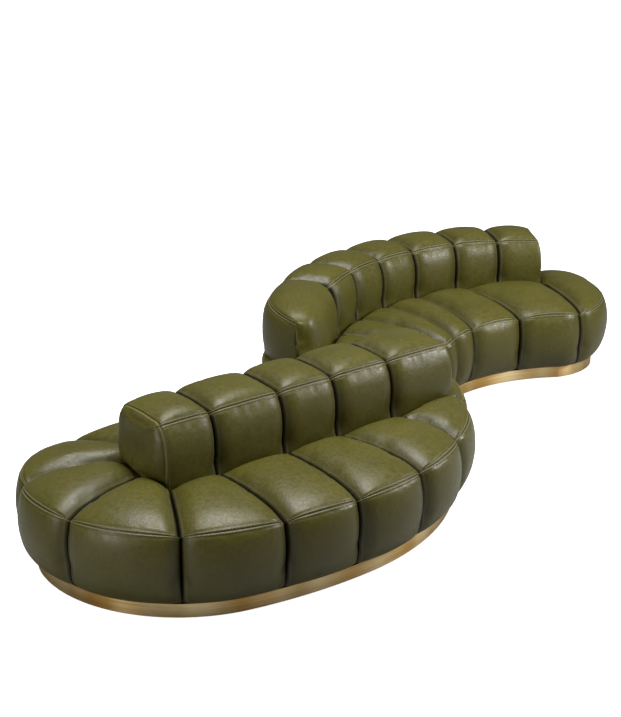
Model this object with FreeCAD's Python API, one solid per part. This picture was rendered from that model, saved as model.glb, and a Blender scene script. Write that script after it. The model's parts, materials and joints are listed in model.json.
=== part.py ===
import FreeCAD, Part
import math
import os

# Serpentine channel-tufted sofa on a recessed plinth, in two sections bolted end to end.
# All sizes in millimetres, Z up. The plan is drawn with the front backrest along +X and
# its seat facing -Y, and the whole sofa is centred over the origin when it is written out.

# Outline of the upholstery at the seat seam, as a chain of tangent arcs
LEFT_END_RADIUS = 443.0
LEFT_END_TURN = 76.7
FRONT_CORNER_RADIUS = 671.0
FRONT_CORNER_TURN = 89.8
FRONT_RADIUS = 2092.0
FRONT_TURN = 15.6
RIGHT_RADIUS = 1235.0
RIGHT_TURN = 63.8
COVE_RADIUS = 768.0
VALLEY_RADIUS = 300.0
REAR_EDGE_Y = 670.0
LEFT_END_X = 9.0

# Front backrest, straight, standing in the middle of the front section
BLOCK_WIDTHS = (236.0, 340.0, 280.0, 310.0, 292.0)
BACK_LEFT_X = 5.0
BACK_FRONT_Y = -24.0
BACK_DEPTH = 336.0

# Rear section, concentric about the centre of the cove
SEAT_DEPTH = 532.0
REAR_BACK_DEPTH = 305.0
REAR_END_ANGLE = 55.6
REAR_BLOCK_ANGLES = (10.4, 11.2, 11.8, 11.1, 11.1, 11.3)
REAR_HEEL_ANGLES = (20.0, 14.0, 10.7, 11.3, 11.0)
REAR_EDGE_ANGLES = (17.0, 23.6, 13.4, 11.4, 11.5)
END_REACH = 296.0
END_GROOVE = -68.0

# Heights
GLIDE_HEIGHT = 6.0
PLINTH_HEIGHT = 57.0
DECK_TOP = 268.0
FOOT_HEIGHT = 400.0
SEAT_SEAM = 374.0
SEAT_TOP = 414.0
BACK_SEAM = 632.0
BACK_TOP = 668.0

# Seat channel widths, measured along the outline from the rear left
CHANNEL_START = 52.0
CHANNEL_WIDTHS = (439.0, 398.0, 475.0, 416.0, 336.0, 371.0, 378.0, 420.0)
REAR_PERCH_FOOT = 440.0
REAR_PERCH_EDGE = 400.0
LEFT_PERCH_FOOT = 140.0
END_GROOVE_Y = 140.0

# Padding
APRON_BULGE = 27.0
APRON_TUCK = 32.0
GROOVE_DEPTH = 22.0
CROWN_CENTRE = 0.45
CROWN_SHARES = (0.965, 0.9, 0.74)
BOW_STEPS = 5
END_DRAW = 150.0
END_ROLL = 60.0
BLOCK_DENT = 13.0
BLOCK_BULGE = 10.0
BLOCK_RECLINE = 34.0
FIT = 0.3

# Carcass
CORE_INSET = 66.0
BOARD = 18.0
FACING = 6.0
DECK = 15.0
PLINTH_INSET = 48.0
FASCIA = 2.0
DUST_COVER = 1.5
BACK_PANEL = 18.0
BACK_PANEL_TOP = 560.0
CLEAT = 40.0
PANEL_END_GAP = 40.0

# Fasteners and feet
GLIDE_RADIUS = 17.0
GLIDE_INSET = 125.0
FRONT_GLIDE_RIBS = (0, 2, 4, 6, 8, 10)
REAR_GLIDE_RIBS = (1, 3, 5)
BOLT_RADIUS = 5.0
BOLT_CLEARANCE = 0.4
BOLT_HEAD = 6.5
BOLT_HEAD_RADIUS = 11.0
BOLT_HEIGHT = 168.0
BOLT_PLACES = (330.0, 560.0)

BASE = GLIDE_HEIGHT + PLINTH_HEIGHT
BACK_LENGTH = sum(BLOCK_WIDTHS)
BACK_RIGHT_X = BACK_LEFT_X + BACK_LENGTH
BACK_REAR_Y = BACK_FRONT_Y + BACK_DEPTH


def point(x, y, z=0.0):
    return FreeCAD.Vector(x, y, z)


def polar(centre, radius, degrees):
    angle = math.radians(degrees)
    return point(centre.x + radius * math.cos(angle), centre.y + radius * math.sin(angle))


def at_height(p, z):
    return point(p.x, p.y, z)


def line(p, q):
    return Part.LineSegment(p, q).toShape()


def arc(p, q, r):
    return Part.Arc(p, q, r).toShape()


def prism(edges, low, high):
    face = Part.Face(Part.Wire(edges))
    face.translate(point(0, 0, low))
    return face.extrude(point(0, 0, high - low))


def box_between(p, q, width, low, high):
    """A board along the line from p to q, seen from above."""
    along = (q - p).normalize()
    side = point(-along.y, along.x) * (width / 2)
    corners = [p + side, p - side, q - side, q + side]
    return prism([line(corners[i], corners[(i + 1) % 4]) for i in range(4)], low, high)


class TurnedArc:
    """One arc of the outline, run anticlockwise about its centre."""

    def __init__(self, centre, radius, start, turn):
        self.centre = centre
        self.radius = radius
        self.start = start
        self.turn = turn
        self.length = radius * math.radians(turn)

    def at(self, distance, offset=0.0):
        angle = self.start + math.degrees(distance / self.radius)
        return polar(self.centre, self.radius + offset, angle)

    def edge(self, offset):
        ends = [self.at(self.length * share, offset) for share in (0.0, 0.5, 1.0)]
        return arc(*ends)


def outline_arcs():
    """The convex part of the front section's edge, from the rear left round to the cove."""
    centre = point(LEFT_END_X, REAR_EDGE_Y - LEFT_END_RADIUS)
    radius = LEFT_END_RADIUS
    start = 90.0
    arcs = []
    turns = ((LEFT_END_RADIUS, LEFT_END_TURN), (FRONT_CORNER_RADIUS, FRONT_CORNER_TURN),
             (FRONT_RADIUS, FRONT_TURN), (RIGHT_RADIUS, RIGHT_TURN))
    for next_radius, turn in turns:
        centre = polar(centre, radius - next_radius, start)
        radius = next_radius
        arcs.append(TurnedArc(centre, radius, start, turn))
        start += turn
    return arcs, start


ARCS, COVE_START = outline_arcs()
COVE = polar(ARCS[-1].centre, RIGHT_RADIUS + COVE_RADIUS, COVE_START)
BACK_FOOT_RADIUS = COVE_RADIUS + SEAT_DEPTH
END_HALF_WIDTH = (SEAT_DEPTH + REAR_BACK_DEPTH) / 2
OUTER_RADIUS = BACK_FOOT_RADIUS + REAR_BACK_DEPTH

# The rear edge of the front section runs into the outer edge of the rear one by a valley arc,
# and the sections part on the radius of the cove where that arc ends.
VALLEY_RISE = REAR_EDGE_Y + VALLEY_RADIUS - COVE.y
VALLEY_REACH = math.sqrt((OUTER_RADIUS + VALLEY_RADIUS) ** 2 - VALLEY_RISE ** 2)
VALLEY = point(COVE.x - VALLEY_REACH, REAR_EDGE_Y + VALLEY_RADIUS)
JOINT_ANGLE = math.degrees(math.atan2(VALLEY_RISE, -VALLEY_REACH))
COVE_LEAD = COVE_START + 180.0 - 360.0 - JOINT_ANGLE
CHAIN_LENGTH = sum(a.length for a in ARCS)
EDGE_LENGTH = CHAIN_LENGTH + COVE_RADIUS * math.radians(COVE_LEAD)
JOINT_ALONG = polar(point(0, 0), 1.0, JOINT_ANGLE)
JOINT_NORMAL = point(-JOINT_ALONG.y, JOINT_ALONG.x)


def edge_point(distance, offset=0.0):
    """A point on the front section's edge, offset outwards from the seam."""
    for turned in ARCS:
        if distance <= turned.length:
            return turned.at(distance, offset)
        distance -= turned.length
    angle = COVE_START - 180.0 - math.degrees(distance / COVE_RADIUS)
    return polar(COVE, COVE_RADIUS - offset, angle)


def front_outline(inset):
    """Edges round the front section, inset from the seam but not along the joint."""
    edges = [turned.edge(-inset) for turned in ARCS]
    cove = [edge_point(CHAIN_LENGTH, -inset)]
    cove.append(polar(COVE, COVE_RADIUS + inset, JOINT_ANGLE + COVE_LEAD / 2))
    cove.append(polar(COVE, COVE_RADIUS + inset, JOINT_ANGLE))
    edges.append(arc(*cove))
    outer = polar(COVE, OUTER_RADIUS - inset, JOINT_ANGLE)
    edges.append(line(cove[-1], outer))
    turn = 270.0 - (JOINT_ANGLE + 180.0)
    middle = polar(VALLEY, VALLEY_RADIUS + inset, 270.0 - turn / 2)
    if turn < 0:
        middle = polar(VALLEY, VALLEY_RADIUS + inset, 270.0 + abs(turn) / 2)
    foot = polar(VALLEY, VALLEY_RADIUS + inset, 270.0)
    edges.append(arc(outer, middle, foot))
    edges.append(line(foot, ARCS[0].at(0.0, -inset)))
    return edges


def end_axes():
    radial = polar(point(0, 0), 1.0, REAR_END_ANGLE)
    return radial, point(radial.y, -radial.x)


def end_point(degrees, reach=0.0):
    """A point on the oval end of the rear section, from its seat edge round to its rear edge."""
    radial, outward = end_axes()
    centre = COVE + radial * (COVE_RADIUS + END_HALF_WIDTH)
    turn = math.radians(degrees)
    along = outward * ((END_REACH + reach) * math.cos(turn))
    return centre + along + radial * ((END_HALF_WIDTH + reach) * math.sin(turn))


def rear_outline(inset):
    """Edges round the rear section, inset from the seam but not along the joint."""
    middle = (JOINT_ANGLE + REAR_END_ANGLE) / 2
    inner = [polar(COVE, COVE_RADIUS + inset, a) for a in (JOINT_ANGLE, middle, REAR_END_ANGLE)]
    outer = [polar(COVE, OUTER_RADIUS - inset, a) for a in (REAR_END_ANGLE, middle, JOINT_ANGLE)]
    edges = [arc(*inner)]
    edges.append(arc(inner[2], end_point(-45.0, -inset), end_point(0.0, -inset)))
    edges.append(arc(end_point(0.0, -inset), end_point(45.0, -inset), outer[0]))
    edges.append(arc(*outer))
    edges.append(line(outer[2], inner[0]))
    return edges


def joint_slab(thickness, side):
    """A slab lying along the joint, on the front section's side when side is 1."""
    start = COVE + JOINT_ALONG * (COVE_RADIUS / 2)
    end = COVE + JOINT_ALONG * (OUTER_RADIUS + VALLEY_RADIUS)
    shift = JOINT_NORMAL * (side * thickness / 2)
    return box_between(start + shift, end + shift, thickness, 0.0, BACK_TOP)


def stacked(rings):
    """A solid through closed rings of points, one above the other, with every side flat."""
    faces = [polygon(rings[0]), polygon(rings[-1])]
    for low, high in zip(rings, rings[1:]):
        for i in range(len(low)):
            j = (i + 1) % len(low)
            faces.append(polygon([low[i], low[j], high[j], high[i]]))
    shell = Part.makeShell(faces)
    shell.sewShape()
    return Part.makeSolid(Part.Shell(shell.Faces))


def polygon(points):
    return Part.Face(Part.makePolygon(points + points[:1]))


def scaled(p, centre, factor):
    return centre + (p - centre) * factor


def meeting(first, second):
    """Where two groove lines meet in plan, or nothing when they run side by side."""
    along = first[1] - first[0]
    other = second[1] - second[0]
    cross = along.x * other.y - along.y * other.x
    if abs(cross) < 0.001 * along.Length * other.Length:
        return None
    gap = second[0] - first[0]
    return first[0] + along * ((gap.x * other.y - gap.y * other.x) / cross)


class Pad:
    """A quilted pad between two groove planes, with a bowed front and a bowed or straight heel.

    The front and the heel move along the groove planes, which meet in one upright line, and the
    crown shrinks evenly towards a point inside the pad, so that no side is twisted.
    """

    def __init__(self, left, right, front_middle, heel_middle=None):
        self.front = arc(left[1], front_middle, right[1]).discretize(BOW_STEPS + 1)
        self.heel = [right[0], left[0]]
        heel_centre = (left[0] + right[0]) * 0.5
        if heel_middle is not None:
            heel_centre = heel_middle
            self.heel = arc(right[0], heel_middle, left[0]).discretize(BOW_STEPS + 1)
        self.middles = (front_middle, heel_centre)
        self.axis = (front_middle - heel_centre).normalize()
        self.centre = scaled(front_middle, heel_centre, CROWN_CENTRE)
        self.apex = meeting(left, right)

    def moved(self, p, middle, reach):
        if self.apex is None:
            return p + self.axis * reach
        return scaled(p, self.apex, 1.0 + reach / (middle - self.apex).dot(self.axis))

    def ring(self, z, reach, heel_reach, shrink):
        """The outline at one height, standing out at front and heel and drawn in evenly."""
        ring = [self.moved(p, self.middles[0], reach) for p in self.front]
        ring += [self.moved(p, self.middles[1], -heel_reach) for p in self.heel]
        return [at_height(scaled(p, self.centre, shrink), z) for p in ring]

    def solid(self, section):
        return stacked([self.ring(*row) for row in section])


def apron_height(share):
    return BASE + share * (SEAT_SEAM - BASE)


def crown_height(seam, top, share):
    return seam + share * (top - seam)


# Seat channel section: height, how far the front and the heel stand out of the seam outline,
# and how much of that outline is left.
APRON = (
    (BASE, -APRON_TUCK, 0.0, 1.0),
    (apron_height(0.15), -0.3 * APRON_TUCK, 0.0, 1.0),
    (apron_height(0.4), 0.85 * APRON_BULGE, 0.0, 1.0),
    (apron_height(0.65), APRON_BULGE, 0.0, 1.0),
    (apron_height(0.87), 0.6 * APRON_BULGE, 0.0, 1.0),
)
SEAT_CROWN = (
    (SEAT_SEAM, 0.0, 0.0, 1.0),
    (crown_height(SEAT_SEAM, SEAT_TOP, 0.5), 0.0, 0.0, CROWN_SHARES[0]),
    (crown_height(SEAT_SEAM, SEAT_TOP, 0.82), 0.0, 0.0, CROWN_SHARES[1]),
    (SEAT_TOP, 0.0, 0.0, CROWN_SHARES[2]),
)
SEAT_SECTION = APRON + SEAT_CROWN


def front_channel(foot, stations):
    """A seat channel of the front section, from its foot at the backrest down to the plinth."""
    edge = [edge_point(s, -GROOVE_DEPTH) for s in stations]
    middle = edge_point(sum(stations) / 2)
    return Pad((foot[0], edge[0]), (foot[1], edge[1]), middle).solid(SEAT_SECTION)


def perch_point(x, offset=0.0):
    """A point on the rear edge of the front section, on the straight or on the valley arc."""
    if x <= VALLEY.x:
        return point(x, REAR_EDGE_Y + offset)
    angle = math.degrees(math.asin((x - VALLEY.x) / VALLEY_RADIUS)) - 90.0
    return polar(VALLEY, VALLEY_RADIUS - offset, angle)


def perch_channel(foot, places):
    """A channel of the perch behind the front backrest."""
    edge = [perch_point(x, -GROOVE_DEPTH) for x in places]
    middle = perch_point(sum(places) / 2)
    return Pad((foot[0], edge[0]), (foot[1], edge[1]), middle).solid(SEAT_SECTION)


def corner_channel(foot, edge):
    """The channel at the joint, flat against the other section."""
    corners = [foot[0], edge[0], edge[1], foot[1]]
    centre = (foot[0] + foot[1] + edge[0] + edge[1]) * 0.25
    rings = []
    for z, reach, heel_reach, shrink in APRON[:1] + SEAT_CROWN:
        rings.append([at_height(scaled(p, centre, shrink), z) for p in corners])
    return stacked(rings)


def rear_grooves():
    """Grooves of the rear seat from heel to edge, from the oval end round to the joint."""
    heel = REAR_END_ANGLE
    edge = REAR_END_ANGLE
    foot_radius = BACK_FOOT_RADIUS - FIT
    grooves = [(polar(COVE, foot_radius, heel), end_point(END_GROOVE))]
    for heel_step, edge_step in zip(REAR_HEEL_ANGLES, REAR_EDGE_ANGLES):
        heel += heel_step
        edge += edge_step
        grooves.append((polar(COVE, foot_radius, heel), polar(COVE, COVE_RADIUS, edge)))
    grooves.append((polar(COVE, foot_radius, JOINT_ANGLE), polar(COVE, COVE_RADIUS, JOINT_ANGLE)))
    return grooves


def angle_of(p):
    return math.degrees(math.atan2(p.y - COVE.y, p.x - COVE.x))


def rear_channel(grooves):
    """A seat channel of the rear section between two grooves."""
    sides = []
    for heel, edge in grooves:
        sides.append((heel, edge + (heel - edge).normalize() * GROOVE_DEPTH))
    heel_middle = sum(angle_of(heel) for heel, edge in grooves) / 2
    edge_middle = sum(angle_of(edge) for heel, edge in grooves) / 2
    pad = Pad(sides[0], sides[1], polar(COVE, COVE_RADIUS, edge_middle),
              polar(COVE, BACK_FOOT_RADIUS - FIT, heel_middle))
    return pad.solid(SEAT_SECTION)


def end_channel():
    """The half oval pad that closes the rear seat, from its last groove round behind the backrest's end."""
    knee = polar(COVE, BACK_FOOT_RADIUS - FIT, REAR_END_ANGLE)
    heart = scaled(end_point(0.0), knee, 0.5)
    steps = 2 * BOW_STEPS
    oval = [end_point(END_GROOVE + (90.0 - END_GROOVE) * i / steps) for i in range(steps + 1)]
    rings = []
    for z, reach, heel_reach, shrink in SEAT_SECTION:
        ring = [scaled(p, knee, 1.0 + reach / END_HALF_WIDTH) for p in oval] + [knee]
        rings.append([at_height(scaled(p, heart, shrink), z) for p in ring])
    return stacked(rings)


# Backrest block section above the seat: height, how far the front and the rear face stand out
# of the foot outline, and how much of that outline is left.
BLOCK_SECTION = (
    (FOOT_HEIGHT, 0.0, 0.0, 1.0),
    (crown_height(FOOT_HEIGHT, BACK_SEAM, 0.3), 0.9 * BLOCK_BULGE, 0.9 * BLOCK_BULGE, 1.0),
    (crown_height(FOOT_HEIGHT, BACK_SEAM, 0.65), 0.3 * BLOCK_BULGE, 0.7 * BLOCK_BULGE, 1.0),
    (BACK_SEAM, -BLOCK_RECLINE, -0.6 * BLOCK_RECLINE, 1.0),
    (crown_height(BACK_SEAM, BACK_TOP, 0.5), -BLOCK_RECLINE, -0.6 * BLOCK_RECLINE, CROWN_SHARES[0]),
    (crown_height(BACK_SEAM, BACK_TOP, 0.82), -BLOCK_RECLINE, -0.6 * BLOCK_RECLINE, CROWN_SHARES[1]),
    (BACK_TOP, -BLOCK_RECLINE, -0.6 * BLOCK_RECLINE, CROWN_SHARES[2]),
)


# The end block has no seam along its top: it rolls over from lower down.
ROLL_START = BACK_SEAM - END_ROLL
END_SECTION = BLOCK_SECTION[:2] + (
    (ROLL_START, -0.2 * BLOCK_RECLINE, -0.2 * BLOCK_RECLINE, 1.0),
    (crown_height(ROLL_START, BACK_TOP, 0.5), -0.6 * BLOCK_RECLINE, -0.5 * BLOCK_RECLINE, CROWN_SHARES[0]),
    (crown_height(ROLL_START, BACK_TOP, 0.82), -0.8 * BLOCK_RECLINE, -0.6 * BLOCK_RECLINE, CROWN_SHARES[1]),
    (BACK_TOP, -BLOCK_RECLINE, -0.6 * BLOCK_RECLINE, CROWN_SHARES[2]),
)


def front_block(left_x, right_x):
    """A block of the straight backrest, standing on the deck."""
    corners = [point(left_x, BACK_FRONT_Y), point(right_x, BACK_FRONT_Y)]
    corners += [point(right_x, BACK_REAR_Y), point(left_x, BACK_REAR_Y)]
    root = prism([line(corners[i], corners[(i + 1) % 4]) for i in range(4)], DECK_TOP, FOOT_HEIGHT)
    middle_x = (left_x + right_x) / 2
    near = BACK_FRONT_Y + BLOCK_DENT
    far = BACK_REAR_Y - BLOCK_DENT
    pad = Pad((point(left_x, far), point(left_x, near)), (point(right_x, far), point(right_x, near)),
              point(middle_x, BACK_FRONT_Y), point(middle_x, BACK_REAR_Y))
    return root.fuse(pad.solid(BLOCK_SECTION)).removeSplitter()


def rear_block(start, end, end_draw=0.0):
    """A block of the curved backrest: over the seat at the front, down to the plinth behind."""
    middle = (start + end) / 2
    outside = polar(COVE, OUTER_RADIUS, middle)
    inside = polar(COVE, BACK_FOOT_RADIUS, middle)
    outers = [polar(COVE, OUTER_RADIUS - BLOCK_DENT, a) for a in (start, end)]
    inners = [polar(COVE, BACK_FOOT_RADIUS, a) for a in (start, end)]
    root = Pad((inners[0], outers[0]), (inners[1], outers[1]), outside, inside)
    low = (BASE, -APRON_TUCK, 0.0, 1.0)
    belly = (DECK_TOP, BLOCK_BULGE, 0.0, 1.0)
    foot = (FOOT_HEIGHT, 0.0, 0.0, 1.0)
    dented = [polar(COVE, BACK_FOOT_RADIUS + BLOCK_DENT, a) for a in (start, end)]
    outers[1] = polar(COVE, OUTER_RADIUS - BLOCK_DENT - end_draw, end)
    outside = polar(COVE, OUTER_RADIUS - 0.12 * end_draw, middle)
    upper = Pad((outers[0], dented[0]), (outers[1], dented[1]), inside, outside)
    section = END_SECTION if end_draw else BLOCK_SECTION
    return root.solid((low, belly, foot)).fuse(upper.solid(section)).removeSplitter()


def sector(inner, outer, start, end, low, high):
    middle = (start + end) / 2
    edges = [arc(*[polar(COVE, inner, a) for a in (start, middle, end)])]
    edges.append(line(polar(COVE, inner, end), polar(COVE, outer, end)))
    edges.append(arc(*[polar(COVE, outer, a) for a in (end, middle, start)]))
    edges.append(line(polar(COVE, outer, start), polar(COVE, inner, start)))
    return prism(edges, low, high)


def band(outline, inset, thickness, low, high):
    """A strip that follows a section's outline and is open at the joint."""
    strip = prism(outline(inset), low, high)
    return strip.cut(prism(outline(inset + thickness), low, high))


def carcass(outline, side):
    """Boards of one section, all standing inside the same outline."""
    pieces = {}
    pieces["base_board"] = prism(outline(CORE_INSET), BASE, BASE + BOARD)
    ring_top = DECK_TOP - DECK
    whole = band(outline, CORE_INSET, FACING, BASE + BOARD, ring_top)
    pieces["facing"] = whole
    inside = prism(outline(CORE_INSET + FACING), BASE + BOARD, ring_top)
    pieces["joint_board"] = inside.common(joint_slab(BOARD, side))
    pieces["deck"] = prism(outline(CORE_INSET), ring_top, DECK_TOP)
    pieces["plinth_fascia"] = band(outline, PLINTH_INSET, FASCIA, GLIDE_HEIGHT, BASE)
    pieces["dust_cover"] = prism(outline(PLINTH_INSET + FASCIA), BASE - DUST_COVER, BASE)
    return pieces, inside.cut(joint_slab(BOARD, side))


def ribs(lines, inside, low, high):
    """Upright boards under the grooves, standing in a given outline."""
    boards = []
    for foot, edge in lines:
        along = (edge - foot).normalize()
        board = box_between(foot + along * BOARD, edge, BOARD, low, high)
        boards.append(board.common(inside))
    return Part.makeCompound(boards)


def plinth_ribs(lines, outline):
    inside = prism(outline(PLINTH_INSET + FASCIA), GLIDE_HEIGHT, BASE - DUST_COVER)
    return ribs(lines, inside, GLIDE_HEIGHT, BASE - DUST_COVER)


def glide_place(rib_line):
    """The place of a glide under the outer end of a rib."""
    foot, edge = rib_line
    return edge - (edge - foot).normalize() * GLIDE_INSET


def glides(places):
    feet = []
    for p in places:
        feet.append(Part.makeCylinder(GLIDE_RADIUS, GLIDE_HEIGHT, at_height(p, 0.0)))
    return Part.makeCompound(feet)


def hexagon(centre, axis, radius, height):
    across = point(0, 0, 1)
    side = axis.cross(across)
    corners = []
    for i in range(6):
        angle = math.radians(60 * i)
        corners.append(centre + across * (radius * math.cos(angle)) + side * (radius * math.sin(angle)))
    face = Part.Face(Part.Wire([line(corners[i], corners[(i + 1) % 6]) for i in range(6)]))
    return face.extrude(axis * height)


def joint_fasteners():
    """Bolts and nuts through the two joint boards, and the holes for them."""
    bolts = []
    nuts = []
    holes = []
    axis = JOINT_NORMAL
    for place in BOLT_PLACES:
        seat = at_height(COVE + JOINT_ALONG * (COVE_RADIUS + place), BOLT_HEIGHT)
        tail = BOARD + 2 * BOLT_HEAD
        shank = Part.makeCylinder(BOLT_RADIUS, BOARD + tail, seat - axis * BOARD, axis)
        head = hexagon(seat - axis * (BOARD + BOLT_HEAD), axis, BOLT_HEAD_RADIUS, BOLT_HEAD)
        bolts.append(shank.fuse(head))
        holes.append(Part.makeCylinder(BOLT_RADIUS + BOLT_CLEARANCE, 2 * tail, seat - axis * tail, axis))
        nut = hexagon(seat + axis * BOARD, axis, BOLT_HEAD_RADIUS, 1.3 * BOLT_HEAD)
        nuts.append(nut.cut(Part.makeCylinder(BOLT_RADIUS, 2 * tail, seat - axis * tail, axis)))
    return Part.makeCompound(bolts), Part.makeCompound(nuts), holes


def front_section(holes):
    nodes = {}
    boards, inside = carcass(front_outline, 1)
    core = prism(front_outline(CORE_INSET), BASE, DECK_TOP)

    borders = [BACK_LEFT_X]
    for width in BLOCK_WIDTHS:
        borders.append(borders[-1] + width)
    corner_rear_left = point(BACK_LEFT_X, BACK_REAR_Y)
    corner_rear_right = point(BACK_RIGHT_X, BACK_REAR_Y)
    feet = [point(BACK_LEFT_X + LEFT_PERCH_FOOT, BACK_REAR_Y), corner_rear_left]
    feet.append(point(BACK_LEFT_X, END_GROOVE_Y))
    feet += [point(x, BACK_FRONT_Y) for x in borders]
    feet.append(corner_rear_right)
    stations = [CHANNEL_START]
    for width in CHANNEL_WIDTHS:
        stations.append(stations[-1] + width)
    stations.append(EDGE_LENGTH)
    pads = []
    for i in range(len(stations) - 1):
        pads.append(front_channel(feet[i:i + 2], stations[i:i + 2]))

    joint_inner = polar(COVE, COVE_RADIUS + GROOVE_DEPTH, JOINT_ANGLE)
    joint_outer = polar(COVE, OUTER_RADIUS - GROOVE_DEPTH, JOINT_ANGLE)
    joint_foot = point(borders[-2], BACK_REAR_Y)
    pads.append(corner_channel([corner_rear_right, joint_foot], [joint_inner, joint_outer]))
    joint_x = polar(COVE, OUTER_RADIUS, JOINT_ANGLE).x
    perch_feet = [joint_foot, point(borders[3], BACK_REAR_Y), point(REAR_PERCH_FOOT, BACK_REAR_Y), feet[0]]
    perch_places = [joint_x, VALLEY.x, REAR_PERCH_EDGE, ARCS[0].at(CHANNEL_START).x]
    for i in range(3):
        pads.append(perch_channel(perch_feet[i:i + 2], perch_places[i:i + 2]))
    for i, pad in enumerate(pads):
        nodes["front_seat_channel_%02d" % (i + 1)] = pad.cut(core)

    panel_y = BACK_FRONT_Y + BACK_DEPTH / 2
    ends = [point(BACK_LEFT_X + PANEL_END_GAP, panel_y), point(BACK_RIGHT_X - PANEL_END_GAP, panel_y)]
    panel = box_between(ends[0], ends[1], BACK_PANEL, DECK_TOP, BACK_PANEL_TOP)
    lift = point(0, (BACK_PANEL + CLEAT) / 2)
    cleat = box_between(ends[0] + lift, ends[1] + lift, CLEAT, DECK_TOP, DECK_TOP + CLEAT)
    nodes["front_back_panel"] = panel
    nodes["front_back_cleat"] = cleat
    for i in range(len(BLOCK_WIDTHS)):
        block = front_block(borders[i], borders[i + 1])
        nodes["front_back_block_%d" % (i + 1)] = block.cut(panel).cut(cleat)

    rib_lines = [(feet[i], edge_point(stations[i])) for i in range(1, len(stations) - 1)]
    perch_ends = [perch_point(x, 0.0) for x in perch_places[1:]]
    rib_lines += list(zip(perch_feet[1:], perch_ends))
    nodes["front_ribs"] = ribs(rib_lines, inside, BASE + BOARD, DECK_TOP - DECK)
    nodes["front_plinth_ribs"] = plinth_ribs(rib_lines, front_outline)
    nodes["front_glides"] = glides([glide_place(rib_lines[i]) for i in FRONT_GLIDE_RIBS])
    boards["joint_board"] = boards["joint_board"].cut(holes)
    for name, shape in boards.items():
        nodes["front_" + name] = shape
    return nodes


def rear_section(holes):
    nodes = {}
    boards, inside = carcass(rear_outline, -1)
    core = prism(rear_outline(CORE_INSET), BASE, DECK_TOP)

    grooves = rear_grooves()
    nodes["rear_seat_channel_1"] = end_channel().cut(core)
    for i in range(len(grooves) - 1):
        pad = rear_channel(grooves[i:i + 2])
        nodes["rear_seat_channel_%d" % (i + 2)] = pad.cut(core)

    panel_radius = BACK_FOOT_RADIUS + 0.5 * REAR_BACK_DEPTH
    gap = math.degrees(PANEL_END_GAP / panel_radius)
    span = (REAR_END_ANGLE + gap, JOINT_ANGLE - gap)
    panel = sector(panel_radius - BACK_PANEL, panel_radius, span[0], span[1], DECK_TOP, BACK_PANEL_TOP)
    cleat = sector(panel_radius, panel_radius + CLEAT, span[0], span[1], DECK_TOP, DECK_TOP + CLEAT)
    nodes["rear_back_panel"] = panel
    nodes["rear_back_cleat"] = cleat
    angles = [REAR_END_ANGLE]
    for step in REAR_BLOCK_ANGLES:
        angles.append(angles[-1] + step)
    angles.append(JOINT_ANGLE)
    for i in range(len(angles) - 1):
        draw = END_DRAW if i == len(angles) - 2 else 0.0
        block = rear_block(angles[i], angles[i + 1], draw)
        nodes["rear_back_block_%d" % (i + 1)] = block.cut([core, panel, cleat])

    rib_lines = []
    for heel, edge in grooves[:-1]:
        outer = polar(COVE, OUTER_RADIUS - CORE_INSET, angle_of(heel))
        rib_lines.append((outer, polar(COVE, COVE_RADIUS, angle_of(heel))))
    nodes["rear_ribs"] = ribs(rib_lines, inside, BASE + BOARD, DECK_TOP - DECK)
    end_line = ((end_point(-90.0) + end_point(90.0)) * 0.5, end_point(0.0))
    nodes["rear_plinth_ribs"] = plinth_ribs(rib_lines + [end_line], rear_outline)
    places = [glide_place(end_line)]
    for i in REAR_GLIDE_RIBS:
        inner = rib_lines[i][1]
        outer = COVE + (inner - COVE).normalize() * OUTER_RADIUS
        places += [glide_place((outer, inner)), glide_place((inner, outer))]
    nodes["rear_glides"] = glides(places)
    boards["joint_board"] = boards["joint_board"].cut(holes)
    for name, shape in boards.items():
        nodes["rear_" + name] = shape
    return nodes


def main():
    os.makedirs("parts", exist_ok=True)
    bolts, nuts, holes = joint_fasteners()
    nodes = front_section(holes)
    nodes.update(rear_section(holes))
    nodes["joint_bolts"] = bolts
    nodes["joint_nuts"] = nuts
    box = Part.makeCompound(list(nodes.values())).BoundBox
    centre = point(-box.Center.x, -box.Center.y, -box.ZMin)
    for name, shape in nodes.items():
        shape.translate(centre)
        shape.exportStep("parts/%s.step" % name)


main()
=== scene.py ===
import cmath
import json
import math

import bmesh
import bpy
import numpy as np
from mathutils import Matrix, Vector, noise


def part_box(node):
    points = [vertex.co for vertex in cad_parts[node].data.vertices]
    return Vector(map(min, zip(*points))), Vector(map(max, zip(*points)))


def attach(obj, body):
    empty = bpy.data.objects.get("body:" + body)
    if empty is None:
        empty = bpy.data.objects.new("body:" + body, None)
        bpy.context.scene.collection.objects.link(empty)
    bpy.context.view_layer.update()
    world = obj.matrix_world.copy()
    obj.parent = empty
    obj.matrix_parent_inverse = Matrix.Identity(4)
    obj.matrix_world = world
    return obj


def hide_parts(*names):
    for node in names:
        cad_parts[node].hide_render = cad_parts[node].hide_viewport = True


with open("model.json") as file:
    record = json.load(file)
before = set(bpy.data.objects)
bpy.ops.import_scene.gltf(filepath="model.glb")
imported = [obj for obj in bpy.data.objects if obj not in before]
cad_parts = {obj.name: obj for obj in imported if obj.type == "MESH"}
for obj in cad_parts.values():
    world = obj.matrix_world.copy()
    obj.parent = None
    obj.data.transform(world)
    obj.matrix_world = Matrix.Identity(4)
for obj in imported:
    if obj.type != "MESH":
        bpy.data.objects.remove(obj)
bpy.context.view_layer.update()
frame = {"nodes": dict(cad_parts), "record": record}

bl_info = {
    "name": "Serpentine Channel Sofa",
    "version": (1, 0, 0),
    "blender": (4, 5, 0),
    "location": "View3D > Sidebar > Sofa",
    "description": "Dresses the sofa's frame in channel-tufted leather on a brushed brass plinth",
    "category": "Object",
}

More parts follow.
